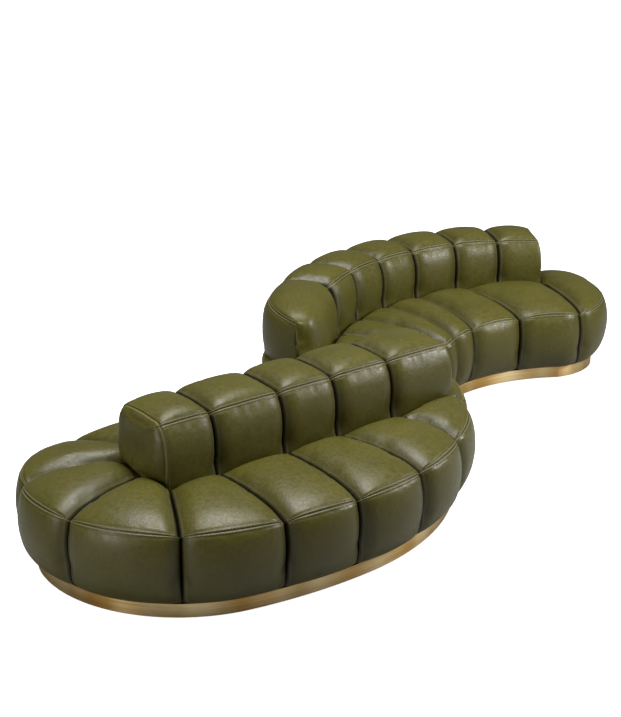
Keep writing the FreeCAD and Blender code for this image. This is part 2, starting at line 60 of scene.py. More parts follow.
# Plan of the sofa in millimetres, as complex numbers, the same as the frame's own plan.
# The straight backrest lies along the real axis and its seat faces down the imaginary axis.
LEFT_END_RADIUS, LEFT_END_TURN = 443.0, 76.7
FRONT_CORNER_RADIUS, FRONT_CORNER_TURN = 671.0, 89.8
FRONT_RADIUS, FRONT_TURN = 2092.0, 15.6
RIGHT_RADIUS, RIGHT_TURN = 1235.0, 63.8
COVE_RADIUS = 768.0
VALLEY_RADIUS = 300.0
REAR_EDGE_Y = 670.0
LEFT_END_X = 9.0
BLOCK_WIDTHS = (236.0, 340.0, 280.0, 310.0, 292.0)
BACK_LEFT_X, BACK_FRONT_Y, BACK_DEPTH = 5.0, -24.0, 336.0
SEAT_DEPTH = 532.0
REAR_BACK_DEPTH = 305.0
REAR_END_ANGLE = 55.6
REAR_BLOCK_ANGLES = (10.4, 11.2, 11.8, 11.1, 11.1, 11.3)
REAR_BLOCK_SKEWS = (0.0, 0.0, 0.0, 0.2, 0.9, 2.2, 2.4, 0.0)
REAR_HEEL_ANGLES = (20.0, 14.0, 10.7, 11.3, 11.0)
REAR_EDGE_ANGLES = (17.0, 23.6, 13.4, 11.4, 11.5)
END_REACH = 296.0
END_GROOVE = -68.0
END_DRAW = 150.0
CHANNEL_START = 52.0
CHANNEL_WIDTHS = (439.0, 398.0, 475.0, 416.0, 336.0, 371.0, 378.0, 420.0)
REAR_PERCH_FOOT, REAR_PERCH_EDGE = 440.0, 400.0
LEFT_PERCH_FOOT, END_GROOVE_Y = 140.0, 140.0
PANEL_END_GAP = 40.0
KNEE_GAP = 18.0
NOSE_TIP = 14.0

BACK_REAR_Y = BACK_FRONT_Y + BACK_DEPTH
BACK_RIGHT_X = BACK_LEFT_X + sum(BLOCK_WIDTHS)
BACK_FOOT_RADIUS = COVE_RADIUS + SEAT_DEPTH
OUTER_RADIUS = BACK_FOOT_RADIUS + REAR_BACK_DEPTH
END_HALF_WIDTH = (SEAT_DEPTH + REAR_BACK_DEPTH) / 2


def polar(centre, radius, degrees):
    """A plan point at an angle round a centre."""
    return centre + radius * cmath.exp(1j * math.radians(degrees))


def outline_arcs():
    """Tangent arcs of the front section's edge: centre, radius, start angle, length."""
    centre = complex(LEFT_END_X, REAR_EDGE_Y - LEFT_END_RADIUS)
    radius, start, arcs = LEFT_END_RADIUS, 90.0, []
    turns = ((LEFT_END_RADIUS, LEFT_END_TURN), (FRONT_CORNER_RADIUS, FRONT_CORNER_TURN),
             (FRONT_RADIUS, FRONT_TURN), (RIGHT_RADIUS, RIGHT_TURN))
    for next_radius, turn in turns:
        centre = polar(centre, radius - next_radius, start)
        radius = next_radius
        arcs.append((centre, radius, start, radius * math.radians(turn)))
        start += turn
    return arcs, start


ARCS, COVE_START = outline_arcs()
COVE = polar(ARCS[-1][0], RIGHT_RADIUS + COVE_RADIUS, COVE_START)
VALLEY_RISE = REAR_EDGE_Y + VALLEY_RADIUS - COVE.imag
VALLEY_REACH = math.sqrt((OUTER_RADIUS + VALLEY_RADIUS) ** 2 - VALLEY_RISE ** 2)
VALLEY = complex(COVE.real - VALLEY_REACH, REAR_EDGE_Y + VALLEY_RADIUS)
JOINT_ANGLE = math.degrees(math.atan2(VALLEY_RISE, -VALLEY_REACH))
COVE_LEAD = COVE_START - 180.0 - JOINT_ANGLE
EDGE_LENGTH = sum(a[3] for a in ARCS) + COVE_RADIUS * math.radians(COVE_LEAD)


def edge_point(distance):
    """A point on the front section's edge, measured from the rear left."""
    for centre, radius, start, length in ARCS:
        if distance <= length:
            return polar(centre, radius, start + math.degrees(distance / radius))
        distance -= length
    return polar(COVE, COVE_RADIUS, COVE_START - 180.0 - math.degrees(distance / COVE_RADIUS))


def perch_point(x):
    """A point on the rear edge of the front section, on the straight or on the valley arc."""
    if x <= VALLEY.real:
        return complex(x, REAR_EDGE_Y)
    return polar(VALLEY, VALLEY_RADIUS, math.degrees(math.asin((x - VALLEY.real) / VALLEY_RADIUS)) - 90.0)


END_RADIAL = polar(0, 1.0, REAR_END_ANGLE)
END_OUTWARD = -1j * END_RADIAL
END_CENTRE = COVE + END_RADIAL * (COVE_RADIUS + END_HALF_WIDTH)


def end_point(degrees, inset=0.0):
    """A point on the oval end of the rear section, from its seat edge round to its rear edge."""
    turn = math.radians(degrees)
    along = END_OUTWARD * (END_REACH - inset) * math.cos(turn)
    return END_CENTRE + along + END_RADIAL * (END_HALF_WIDTH - inset) * math.sin(turn)


def plan_shift():
    """How far the frame lies from the plan, in millimetres, read from the straight back panel."""
    low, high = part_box("front_back_panel")
    return complex(low.x * 1000 - (BACK_LEFT_X + PANEL_END_GAP),
                   (low.y + high.y) * 500 - (BACK_FRONT_Y + BACK_DEPTH / 2))


SHIFT = plan_shift()


def placed(p):
    """A plan point in metres in the frame."""
    return (p + SHIFT) / 1000


def between(a, b, share):
    """The value or place at a share of the way from a to b."""
    return a + (b - a) * share


def tint(text):
    """Linear colour of an sRGB hex value."""
    parts = [int(text[i:i + 2], 16) / 255 for i in (1, 3, 5)]
    return tuple(p / 12.92 if p <= 0.04045 else ((p + 0.055) / 1.055) ** 2.4 for p in parts)


def metres(name, description, default, low, high):
    """A size in metres that can be set."""
    return bpy.props.FloatProperty(
        name=name, description=description, default=default, min=low, max=high, unit="LENGTH")


def dye(name, description, text):
    """A colour that can be set, from an sRGB hex value."""
    return bpy.props.FloatVectorProperty(
        name=name, description=description, default=tint(text), min=0, max=1, size=3, subtype="COLOR")


class SofaSizes(bpy.types.PropertyGroup):
    """Sizes of the upholstery that a maker would change."""

    groove_depth: metres("Groove depth", "How deep the sewn grooves between channels are", 0.04, 0.0, 0.06)
    groove_roll: metres("Groove roll", "Radius over which the padding rolls into a groove", 0.07, 0.01, 0.1)
    arch: metres("Arch", "How much a channel rises from its sides to its middle", 0.026, 0.0, 0.04)
    seam_pinch: metres("Seam pinch", "How deep the twin-needle seams pull in", 0.0045, 0.0, 0.01)
    end_puff: metres("End puff", "How far the straight backrest's end panels swell", 0.048, 0.0, 0.08)
    slack: bpy.props.FloatProperty(
        name="Slack", description="Share by which the leather is cut larger than the padding",
        default=0.006, min=0.0, max=0.05)
    swell: metres("Swell", "Most that the padding may move when it is blown up", 0.014, 0.0, 0.03)
    wrinkle: metres("Wrinkle", "Height of the folds beside seams and grooves", 0.0012, 0.0, 0.01)
    stitch_pitch: metres("Stitch pitch", "Distance from one stitch to the next", 0.0115, 0.003, 0.02)
    stitch_length: metres("Stitch length", "Length of thread that shows in one stitch", 0.0085, 0.002, 0.015)
    thread: metres("Thread", "Thickness of the sewing thread", 0.002, 0.0005, 0.003)


class SofaColours(bpy.types.PropertyGroup):
    """Colours of the finishes."""

    hide_light: dye("Hide, light", "Leather where the pigment lies thin", "#5A551F")
    hide_deep: dye("Hide, deep", "Leather where the pigment lies thick", "#4C4818")
    # The groove colour is painted shade in the grooves, the seams and the joint line, not a colour of the
    # hide.
    hide_painted_shade: dye("Hide, groove", "Leather in the grooves and seams", "#0E0D05")
    # The edge colour is a painted highlight on the sewn strips beside seams and grooves, not a colour of the
    # hide.
    hide_painted_highlight: dye("Hide, edge", "Leather stretched over the sewn strips", "#857E4E")
    thread: dye("Thread", "Sewing thread", "#A39B70")
    # The two brass colours carry the real brush marks and painted reflection, in upright bands of reflected
    # light.
    brass_pale_mark_and_lit_band: dye("Brass, light", "Brushed brass where the brush ran lightly", "#FBE3AE")
    brass_dark_mark_and_dim_band: dye("Brass, deep", "Brushed brass where the brush was pressed", "#C89E58")
    floor: dye("Floor", "Studio floor", "#F4F4F2")


def add(tree, kind, inputs=(), **settings):
    """Adds a node with its settings, and its inputs as values or links."""
    node = tree.nodes.new(kind)
    for name, value in settings.items():
        setattr(node, name, value)
    for key, value in dict(inputs).items():
        if isinstance(value, bpy.types.NodeSocket):
            tree.links.new(value, node.inputs[key])
        else:
            node.inputs[key].default_value = value
    return node


def fresh(name):
    """A named material and its empty tree."""
    material = bpy.data.materials.new(name)
    material.use_nodes = True
    material.node_tree.nodes.clear()
    return material, material.node_tree


def solid(colour):
    """A colour as a colour socket takes it."""
    return (colour[0], colour[1], colour[2], 1.0)


def per_mm(size):
    """Pattern scale that repeats about once in a real size in millimetres."""
    return 1000.0 / size


def place_of(tree):
    """Places on the piece itself, in metres."""
    return add(tree, "ShaderNodeTexCoord").outputs["Object"]


def cloudy(tree, place, scale, detail, roughness=0.5, distortion=0.0):
    """A soft uneven pattern."""
    inputs = {"Vector": place, "Scale": scale, "Detail": detail}
    inputs.update({"Roughness": roughness, "Distortion": distortion})
    return add(tree, "ShaderNodeTexNoise", inputs).outputs["Fac"]


def blend(tree, share, low, high):
    """A colour between two others."""
    return add(tree, "ShaderNodeMix", {0: share, 6: low, 7: high}, data_type="RGBA").outputs[2]


def spread(tree, value, source=(0.0, 1.0), target=(0.0, 1.0)):
    """A value carried over from one range to another."""
    inputs = {"Value": value, "From Min": source[0], "From Max": source[1]}
    inputs.update({"To Min": target[0], "To Max": target[1]})
    return add(tree, "ShaderNodeMapRange", inputs).outputs[0]


def relief(tree, height, strength, depth, **over):
    """A bump from a pattern, over another one that Normal gives."""
    inputs = {"Height": height, "Strength": strength, "Distance": depth, **over}
    return add(tree, "ShaderNodeBump", inputs).outputs["Normal"]


def finished(material, tree, inputs):
    """The material with its one shader, which takes the inputs."""
    shader = add(tree, "ShaderNodeBsdfPrincipled", inputs)
    add(tree, "ShaderNodeOutputMaterial", {"Surface": shader.outputs[0]})
    return material


def pigmented_leather(colours):
    """Pigmented cowhide, drum dyed and finished semi-gloss over a fine embossed grain.

    The eye sees a soft broad sheen, cloudy depth of pigment, painted shade in the grooves and seams, and
    painted highlights on the sewn strips beside them.
    """
    material, tree = fresh("pigmented_leather")
    place = place_of(tree)
    cloud = cloudy(tree, place, per_mm(210), 4.0, 0.6)
    mottle = cloudy(tree, place, per_mm(16), 3.0, 0.65)
    depth = add(tree, "ShaderNodeMath", {0: cloud, 1: mottle}, operation="ADD").outputs[0]
    hide = blend(tree, spread(tree, depth, (0.72, 1.3)), solid(colours.hide_deep), solid(colours.hide_light))
    groove = add(tree, "ShaderNodeAttribute", attribute_name="groove").outputs["Fac"]
    # Painted shade: the groove marks darken the leather in grooves, seams, the joint line and the sewn rims
    # of end panels.
    hide = blend(tree, spread(tree, groove, (0.08, 0.95), (0.0, 0.94)), hide, solid(colours.hide_painted_shade))
    # Painted highlight: the leather is paled on the sewn strips beside seams and grooves.
    painted_highlight = add(tree, "ShaderNodeAttribute", attribute_name="painted_highlight").outputs["Fac"]
    hide = blend(tree, spread(tree, painted_highlight, target=(0.0, 0.85)), hide, solid(colours.hide_painted_highlight))
    # The real grain is about 1 mm and is drawn at 5 mm, as coarse as it has to be to show.
    grain = relief(tree, cloudy(tree, place, per_mm(5), 2.0, 0.7), 0.5, 0.001)
    crease = relief(tree, cloudy(tree, place, per_mm(22), 6.0, 0.62, 0.6), 0.2, 0.004, Normal=grain)
    rough = spread(tree, mottle, (0.3, 0.7), (0.29, 0.5))
    return finished(material, tree, {"Base Color": hide, "Roughness": rough, "Normal": crease, "IOR": 1.45})


def brushed_brass(colours):
    """Rolled brass sheet, brushed along its length and lacquered satin.

    The eye sees fine brush lines along the plinth, and upright bands of light: reflections drawn out across
    the brushing, and painted reflection in the colour.
    """
    material, tree = fresh("brushed_brass")
    place = place_of(tree)
    # Brush marks of about 0.3 mm are drawn 5 mm high, as coarse as they have to be to show.
    level = add(tree, "ShaderNodeMapping", {"Vector": place, "Scale": (per_mm(500), per_mm(500), per_mm(5))})
    marks = cloudy(tree, level.outputs[0], 1.0, 2.0)
    # Painted reflection: upright light and dark stretches wander along the band and stand in for bands of
    # reflected light.
    upright = add(tree, "ShaderNodeMapping", {"Vector": place, "Scale": (per_mm(210), per_mm(210), 0.0)})
    painted_reflection_bands = cloudy(tree, upright.outputs[0], 1.0, 1.0)
    # The tone adds the painted reflection bands to the real brush marks.
    tone = add(tree, "ShaderNodeMath", {0: marks, 1: 0.25, 2: painted_reflection_bands}, operation="MULTIPLY_ADD").outputs[0]
    tone = spread(tree, tone, (0.5, 0.76))
    across = add(tree, "ShaderNodeTangent", direction_type="RADIAL", axis="Z")
    return finished(material, tree, {
        "Base Color": blend(tree, tone, solid(colours.brass_dark_mark_and_dim_band), solid(colours.brass_pale_mark_and_lit_band)),
        "Metallic": 1.0, "Roughness": spread(tree, marks, (0.3, 0.7), (0.34, 0.42)),
        "Anisotropic": 0.75, "Anisotropic Rotation": 0.25, "Tangent": across.outputs[0]})


def sewing_thread(colours):
    """Twisted bonded nylon thread: fine slanting plies with a dull shine."""
    material, tree = fresh("bonded_nylon_thread")
    inputs = {"Vector": place_of(tree), "Scale": per_mm(1.2), "Distortion": 1.0}
    plies = add(tree, "ShaderNodeTexWave", inputs, bands_direction="DIAGONAL").outputs["Fac"]
    colour = blend(tree, plies, solid(colours.hide_deep), solid(colours.thread))
    return finished(material, tree, {"Base Color": colour, "Roughness": 0.5})


def birch_plywood():
    """Raw birch plywood, sanded: pale, with long faint figure."""
    material, tree = fresh("birch_plywood")
    scale = (per_mm(160), per_mm(14), per_mm(14))
    long = add(tree, "ShaderNodeMapping", {"Vector": place_of(tree), "Scale": scale})
    figure = cloudy(tree, long.outputs[0], 1.0, 5.0)
    colour = blend(tree, figure, solid(tint("#B48C5C")), solid(tint("#DDBB8A")))
    bump = relief(tree, figure, 0.2, 0.001)
    return finished(material, tree, {"Base Color": colour, "Roughness": 0.65, "Normal": bump})


def spunbond_lining():
    """Black spunbond lining cloth, bonded in a grid of small dots: dull and faintly pimpled."""
    material, tree = fresh("spunbond_lining")
    inputs = {"Vector": place_of(tree), "Scale": per_mm(4), "Randomness": 0.15}
    dots = add(tree, "ShaderNodeTexVoronoi", inputs).outputs["Distance"]
    colour = blend(tree, dots, solid(tint("#141414")), solid(tint("#2A2A29")))
    bump = relief(tree, dots, 0.4, 0.0005)
    return finished(material, tree, {"Base Color": colour, "Roughness": 0.9, "Normal": bump})


def moulded_glide():
    """Black moulded polyethylene with a spark-eroded skin: dark, with a soft dull light on it."""
    material, tree = fresh("moulded_polyethylene")
    skin = cloudy(tree, place_of(tree), per_mm(1.5), 2.0)
    colour = blend(tree, skin, solid(tint("#1B1B1B")), solid(tint("#2B2B2A")))
    bump = relief(tree, skin, 0.2, 0.0003)
    return finished(material, tree, {"Base Color": colour, "Roughness": 0.55, "Normal": bump})


def zinc_plate():
    """Zinc-plated steel, passivated: dull grey with faint cloud."""
    material, tree = fresh("zinc_plated_steel")
    cloud = cloudy(tree, place_of(tree), per_mm(5), 3.0)
    colour = blend(tree, cloud, solid(tint("#A9ABA6")), solid(tint("#C9CAC4")))
    return finished(material, tree, {"Base Color": colour, "Metallic": 1.0, "Roughness": 0.4})


TINTED_FINISHES = {"leather": pigmented_leather, "brass": brushed_brass, "thread": sewing_thread}
PLAIN_FINISHES = {"plywood": birch_plywood, "lining": spunbond_lining, "glide": moulded_glide,
                  "fastener": zinc_plate}
FINISHES = {}


def finish_of(key):
    """Each finish is made once and then shared by its pieces."""
    if key not in FINISHES:
        tinted = key in TINTED_FINISHES
        colours = bpy.context.scene.sofa_colours
        FINISHES[key] = TINTED_FINISHES[key](colours) if tinted else PLAIN_FINISHES[key]()
    return FINISHES[key]


# Side views of the padding, in metres: distance from the heel and height above the floor. The
# seat's depth is added where a point is measured from the edge. Each list says where its seams are.
def seat_view(depth):
    """A seat channel: crowned top, sewn edge, bellied apron and the turn under to the plinth."""
    k = min(1.0, depth / 0.26)
    points = [(0.0, 0.318), (0.002 * k, 0.358), (0.012 * k, 0.384), (0.04 * k, 0.402), (0.2 * depth, 0.417),
              (0.42 * depth, 0.424), (0.62 * depth, 0.421), (0.8 * depth, 0.409), (depth - 0.045 * k, 0.395),
              (depth - 0.012 * k, 0.38), (depth + 0.001, 0.37), (depth + 0.012, 0.35), (depth + 0.024, 0.303),
              (depth + 0.029, 0.248), (depth + 0.024, 0.188), (depth + 0.01, 0.131), (depth - 0.01, 0.092),
              (depth - 0.035, 0.07), (depth - 0.066, 0.0645)]
    return points, (10,)


def joint_view(depth):
    """The seat channel at the joint, which ends in a flat face against the other section."""
    points = [(0.0, 0.318), (0.002, 0.358), (0.012, 0.384), (0.04, 0.402), (0.2 * depth, 0.416),
              (0.42 * depth, 0.421), (0.65 * depth, 0.42), (depth - 0.085, 0.417), (depth - 0.036, 0.414),
              (depth - 0.012, 0.412), (depth - 0.003, 0.41), (depth - 0.001, 0.398)]
    points += [(depth, z) for z in (0.378, 0.358, 0.338, 0.318, 0.308, 0.298, 0.288)]
    return points, (10,)


def skirt_view(depth):
    """The ledge behind the end block, with the backrest's own straight fall to the plinth."""
    points, seams = seat_view(depth)
    points = [(x, min(z, 0.403)) for x, z in points[:11]]
    down = [(depth + 0.006, 0.35), (depth + 0.009, 0.303), (depth + 0.01, 0.248), (depth + 0.006, 0.188),
            (depth - 0.006, 0.131), (depth - 0.02, 0.092), (depth - 0.04, 0.07), (depth - 0.066, 0.0645)]
    return points + down, seams


def block_view(depth):
    """A backrest block, with a sewn edge in front of its top and one behind it."""
    points = [(0.004, 0.338), (0.002, 0.398), (-0.006, 0.468), (-0.005, 0.528), (0.006, 0.583),
              (0.022, 0.618), (0.033, 0.635), (0.047, 0.649), (0.077, 0.662), (0.5 * depth, 0.669),
              (depth - 0.066, 0.662), (depth - 0.036, 0.649), (depth - 0.022, 0.635), (depth - 0.01, 0.618),
              (depth + 0.002, 0.583), (depth + 0.008, 0.528), (depth + 0.008, 0.468), (depth, 0.398),
              (depth - 0.002, 0.338)]
    return points, (6, 12)


def nose_view(depth):
    """The end block: no seam at the front, where the top rolls over in one piece."""
    k = min(1.0, depth / 0.305)
    points = [(0.004, 0.338), (0.0, 0.398), (-0.006, 0.46), (-0.003, 0.51), (0.01, 0.562), (0.031, 0.605),
              (0.058, 0.636), (0.09, 0.654), (0.13, 0.664), (0.183, 0.668), (0.245, 0.661), (0.271, 0.649),
              (0.283, 0.635), (0.295, 0.618), (0.307, 0.583), (0.313, 0.528), (0.313, 0.468), (0.305, 0.398),
              (0.303, 0.338)]
    return [(depth + k * (x - 0.305), z) for x, z in points], (12,)


def shell_view(depth):
    """A block of the curved backrest, whose outer face goes on down to the plinth."""
    points, seams = block_view(depth)
    down = [(depth + 0.01, 0.388), (depth + 0.011, 0.288), (depth + 0.005, 0.188), (depth - 0.008, 0.122),
            (depth - 0.028, 0.08), (depth - 0.046, 0.0665), (depth - 0.066, 0.0645)]
    return points[:17] + down, seams


SEAT_VIEWS = (seat_view, joint_view, skirt_view)


LINE_STEPS = 16


def smooth_line(points):
    """A dense smooth line through points, which keeps each of them at a multiple of LINE_STEPS."""
    pts = np.array(points, float)
    ends = np.vstack([2 * pts[0] - pts[1], pts, 2 * pts[-1] - pts[-2]])
    share = np.linspace(0, 1, LINE_STEPS, endpoint=False)[:, None]
    runs = []
    for a, b, c, d in zip(ends, ends[1:], ends[2:], ends[3:]):
        gap = max(np.linalg.norm(c - b), 1e-9)
        lead = 0.5 * (c - a) * min(1.0, 2 * gap / max(np.linalg.norm(b - a) + gap, 1e-9))
        trail = 0.5 * (d - b) * min(1.0, 2 * gap / max(np.linalg.norm(d - c) + gap, 1e-9))
        s2, s3 = share ** 2, share ** 3
        runs.append((2 * s3 - 3 * s2 + 1) * b + (s3 - 2 * s2 + share) * lead
                    + (-2 * s3 + 3 * s2) * c + (s3 - s2) * trail)
    return np.vstack(runs + [pts[-1:]])


# Twin-needle seam: how far its stitches, with some play, and the dents beyond them lie from its gap, and
# where rows of points run beside it.
STITCH_STEP, STITCH_PLAY = 0.0058, 0.0004
DENT_STEP = 0.0098
SEAM_STEPS = (0.0, 0.0025, STITCH_STEP, 0.0095, 0.015, 0.024)


def run_marks(length, seam_first, seam_last, count):
    """Distances along one run of the side view, close together beside seams and at a free end."""
    first = SEAM_STEPS[-1] if seam_first else 0.0
    last = length - SEAM_STEPS[-1] if seam_last else length
    share = np.linspace(0, 1, count + 1)
    if not seam_first:
        share = 1 - np.cos(share * math.pi / 2)
    if not seam_last:
        share = np.sin(share * math.pi / 2)
    marks = list(first + (last - first) * share)
    if seam_first:
        marks = list(SEAM_STEPS[:-1]) + marks
    if seam_last:
        marks = marks + [length - s for s in reversed(SEAM_STEPS[:-1])]
    return marks


def side_rows(view, depth, counts):
    """Samples of a side view: place, outward direction and signed distance to the nearest seam."""
    points, seams = view(depth)
    dense = smooth_line(points)
    along = np.concatenate([[0], np.cumsum(np.linalg.norm(np.diff(dense, axis=0), axis=1))])
    breaks = [0.0] + [along[s * LINE_STEPS] for s in seams] + [along[-1]]
    marks = []
    for i, count in enumerate(counts):
        run = run_marks(breaks[i + 1] - breaks[i], i > 0, i < len(counts) - 1, count)
        marks += [breaks[i] + m for m in (run if i == 0 else run[1:])]
    marks = np.array(marks)
    x = np.interp(marks, along, dense[:, 0])
    z = np.interp(marks, along, dense[:, 1])
    step = 0.004
    ax = np.interp(marks + step, along, dense[:, 0]) - np.interp(marks - step, along, dense[:, 0])
    az = np.interp(marks + step, along, dense[:, 1]) - np.interp(marks - step, along, dense[:, 1])
    size = np.maximum(np.hypot(ax, az), 1e-9)
    gaps = np.array([marks - b for b in breaks[1:-1]])
    near = gaps[np.argmin(np.abs(gaps), axis=0), np.arange(len(marks))]
    return x, z, -az / size, ax / size, near


def ramp(value, start, run, low=0.0):
    """Rises from low to 1 as a value goes from its start over a run."""
    return np.clip((value - start) / run, low, 1)


def roll(distance, radius):
    """How far padding has rolled down at a distance from a groove, from 0 to 1."""
    share = np.clip(1 - distance / radius, 0, 1)
    return 1 - np.sqrt(1 - share ** 2)


def ridge(distance, width):
    """A soft rounded ridge, from 1 on its line down to 0."""
    return np.exp(-(distance / width) ** 2)


def seam_shape(distance, pinch):
    """The pull of a seam, the sewn strips beside it and the soft lips beyond their stitches."""
    away = np.abs(distance)
    bump = 0.2 * ridge(away - STITCH_STEP, 0.0025) + 0.3 * ridge(away - 0.019, 0.007)
    return pinch * (bump - ridge(away, 0.003) - 0.4 * ridge(away - DENT_STEP, 0.0028))


def seam_shade(distance):
    """Painted shade of a seam: in its gap, and in the dents outside its two rows of stitches."""
    away = np.abs(distance)
    return np.maximum(0.95 * ridge(away, 0.004), 0.7 * ridge(away - DENT_STEP, 0.002))


def seam_shine(distance):
    """Painted highlight on a seam's sewn strips, which makes them paler."""
    return ridge(np.abs(distance) - STITCH_STEP, 0.0026)


def groove_shade(distance):
    """Painted shade of a groove: its deep line and the shade that fades out beside it."""
    return np.maximum(ridge(distance, 0.02), 0.62 * np.exp(-distance / 0.034))


def wrinkles(grid, pull):
    """Low broad unevenness of the wadding and short folds where the leather is pulled."""
    folds = np.zeros(grid.shape[:2])
    for i in range(grid.shape[0]):
        for j in range(grid.shape[1]):
            p = Vector(grid[i, j])
            folds[i, j] = 0.6 * noise.noise(p * 7.0) + pull[i, j] * noise.noise(p * 24.0)
    return folds


def square_to(station, share, ahead):
    """Unit direction square to the edge, on the side that faces ahead."""
    step = 0.01
    run = station(min(share + step, 1.0))[1] - station(max(share - step, 0.0))[1]
    out = 1j * run / abs(run)
    return out if (out * ahead.conjugate()).real > 0 else -out


# Heights between which the top of a seat or of a block comes down where it sags.
SEAT_SAG, BLOCK_SAG = (0.2, 0.42), (0.42, 0.668)
# How far folds reach from a seam or groove.
FOLD_REACH = 0.035
# Most of a channel's width that the roll into one groove takes up.
ROLL_SHARE = 0.42
# The painted highlight on the strip beside a groove: its distance and its width.
STRIP_STEP, STRIP_WIDTH = 0.0135, 0.004
# Half the width of the painted shade along the groove against the other section.
JOINT_LINE = 0.0095
# Above the plinth the grooves deepen from this height over this rise, from this share.
FOOT_START, FOOT_DEEPEN, FOOT_SHARE = 0.045, 0.13, 0.2
# Above the plinth the channels arch from this height over this rise, about this share of the arch.
ARCH_START, ARCH_RISE, ARCH_LEVEL = 0.06, 0.1, 0.35
# In front of a block the grooves open from this height over this rise, from this share.
HEEL_START, HEEL_RISE, HEEL_SHARE = 0.35, 0.07, 0.1
# Behind this share of a block's depth its grooves grow shallow, over this run and by this much.
BEHIND_START, BEHIND_RUN, BEHIND_LOSS = 0.3, 0.6, 0.55
# How far from its seam a nose's roll comes to its full depth.
NOSE_RUN = 0.08
# The cloth is held where a groove's painted shade is deeper than this, this near a seam and below this
# height.
HELD_SHADE, HELD_STRIP, HELD_FOOT = 0.75, 0.0125, 0.1
# How far a free end has rolled down at its rim, and over what width: a sewn end panel, a rounded nose.
CORNERS = {"cap": (0.006, 0.02), "nose": (0.045, 0.1)}
# How far along a free end leans out, and the heights over which it comes upright.
LEAN_REACH, LEAN_START, LEAN_RISE = 0.16, 0.45, 0.2
# Rings of an end panel: share of the rim's size, and share of the panel's puff.
PANEL_RINGS = ((0.982, -0.05), (0.962, 0.05), (0.935, 0.19), (0.9, 0.34), (0.85, 0.5), (0.78, 0.66),
               (0.69, 0.79), (0.57, 0.89), (0.42, 0.96), (0.22, 0.99), (0.04, 1.0))
# How much painted shade lies on the sewn rings of a panel.
RIM_SHADES = (0.9, 0.0, 0.4)
# Heights of the upright line that the rings close in on, and of the foot where the puff begins.
PANEL_HEART, PANEL_FOOT, FOOT_RISE = (0.43, 0.56), 0.35, 0.11
# How far round a nose's corner the leather is eased, and how often.
NOSE_REACH, NOSE_PASSES = 0.06, 12


def swept(station, view, counts, sag, share):
    """Rows of a padded piece at shares of its width.

    Gives their places, outward directions, distances from the seam and from the edge, how much they
    face the heel and how far they lie towards the rear.
    """
    on_seat = view in SEAT_VIEWS
    low, high = SEAT_SAG if on_seat else BLOCK_SAG
    parts = []
    for u in share:
        heel, edge = [placed(p) for p in station(float(u))]
        depth = abs(edge - heel)
        ahead = (edge - heel) / depth
        x, z, nx, nz, near = side_rows(view, depth, counts)
        if sag is not None:
            z = z - sag(float(u)) * ramp(z, low, high - low)
        # Below its seam an apron falls square to the edge, whichever way the grooves on top run.
        apron = (near > 0) & on_seat
        line = np.where(apron, square_to(station, float(u), ahead), ahead)
        spot = np.where(apron, edge + line * (x - depth), heel + ahead * x)
        parts.append((np.stack([spot.real, spot.imag, z], axis=1),
                      np.stack([line.real * nx, line.imag * nx, nz], axis=1), near, np.maximum(depth - x, 0),
                      np.maximum(-nx, 0), ramp(x / depth, BEHIND_START, BEHIND_RUN)))
    return [np.array(part) for part in zip(*parts)]


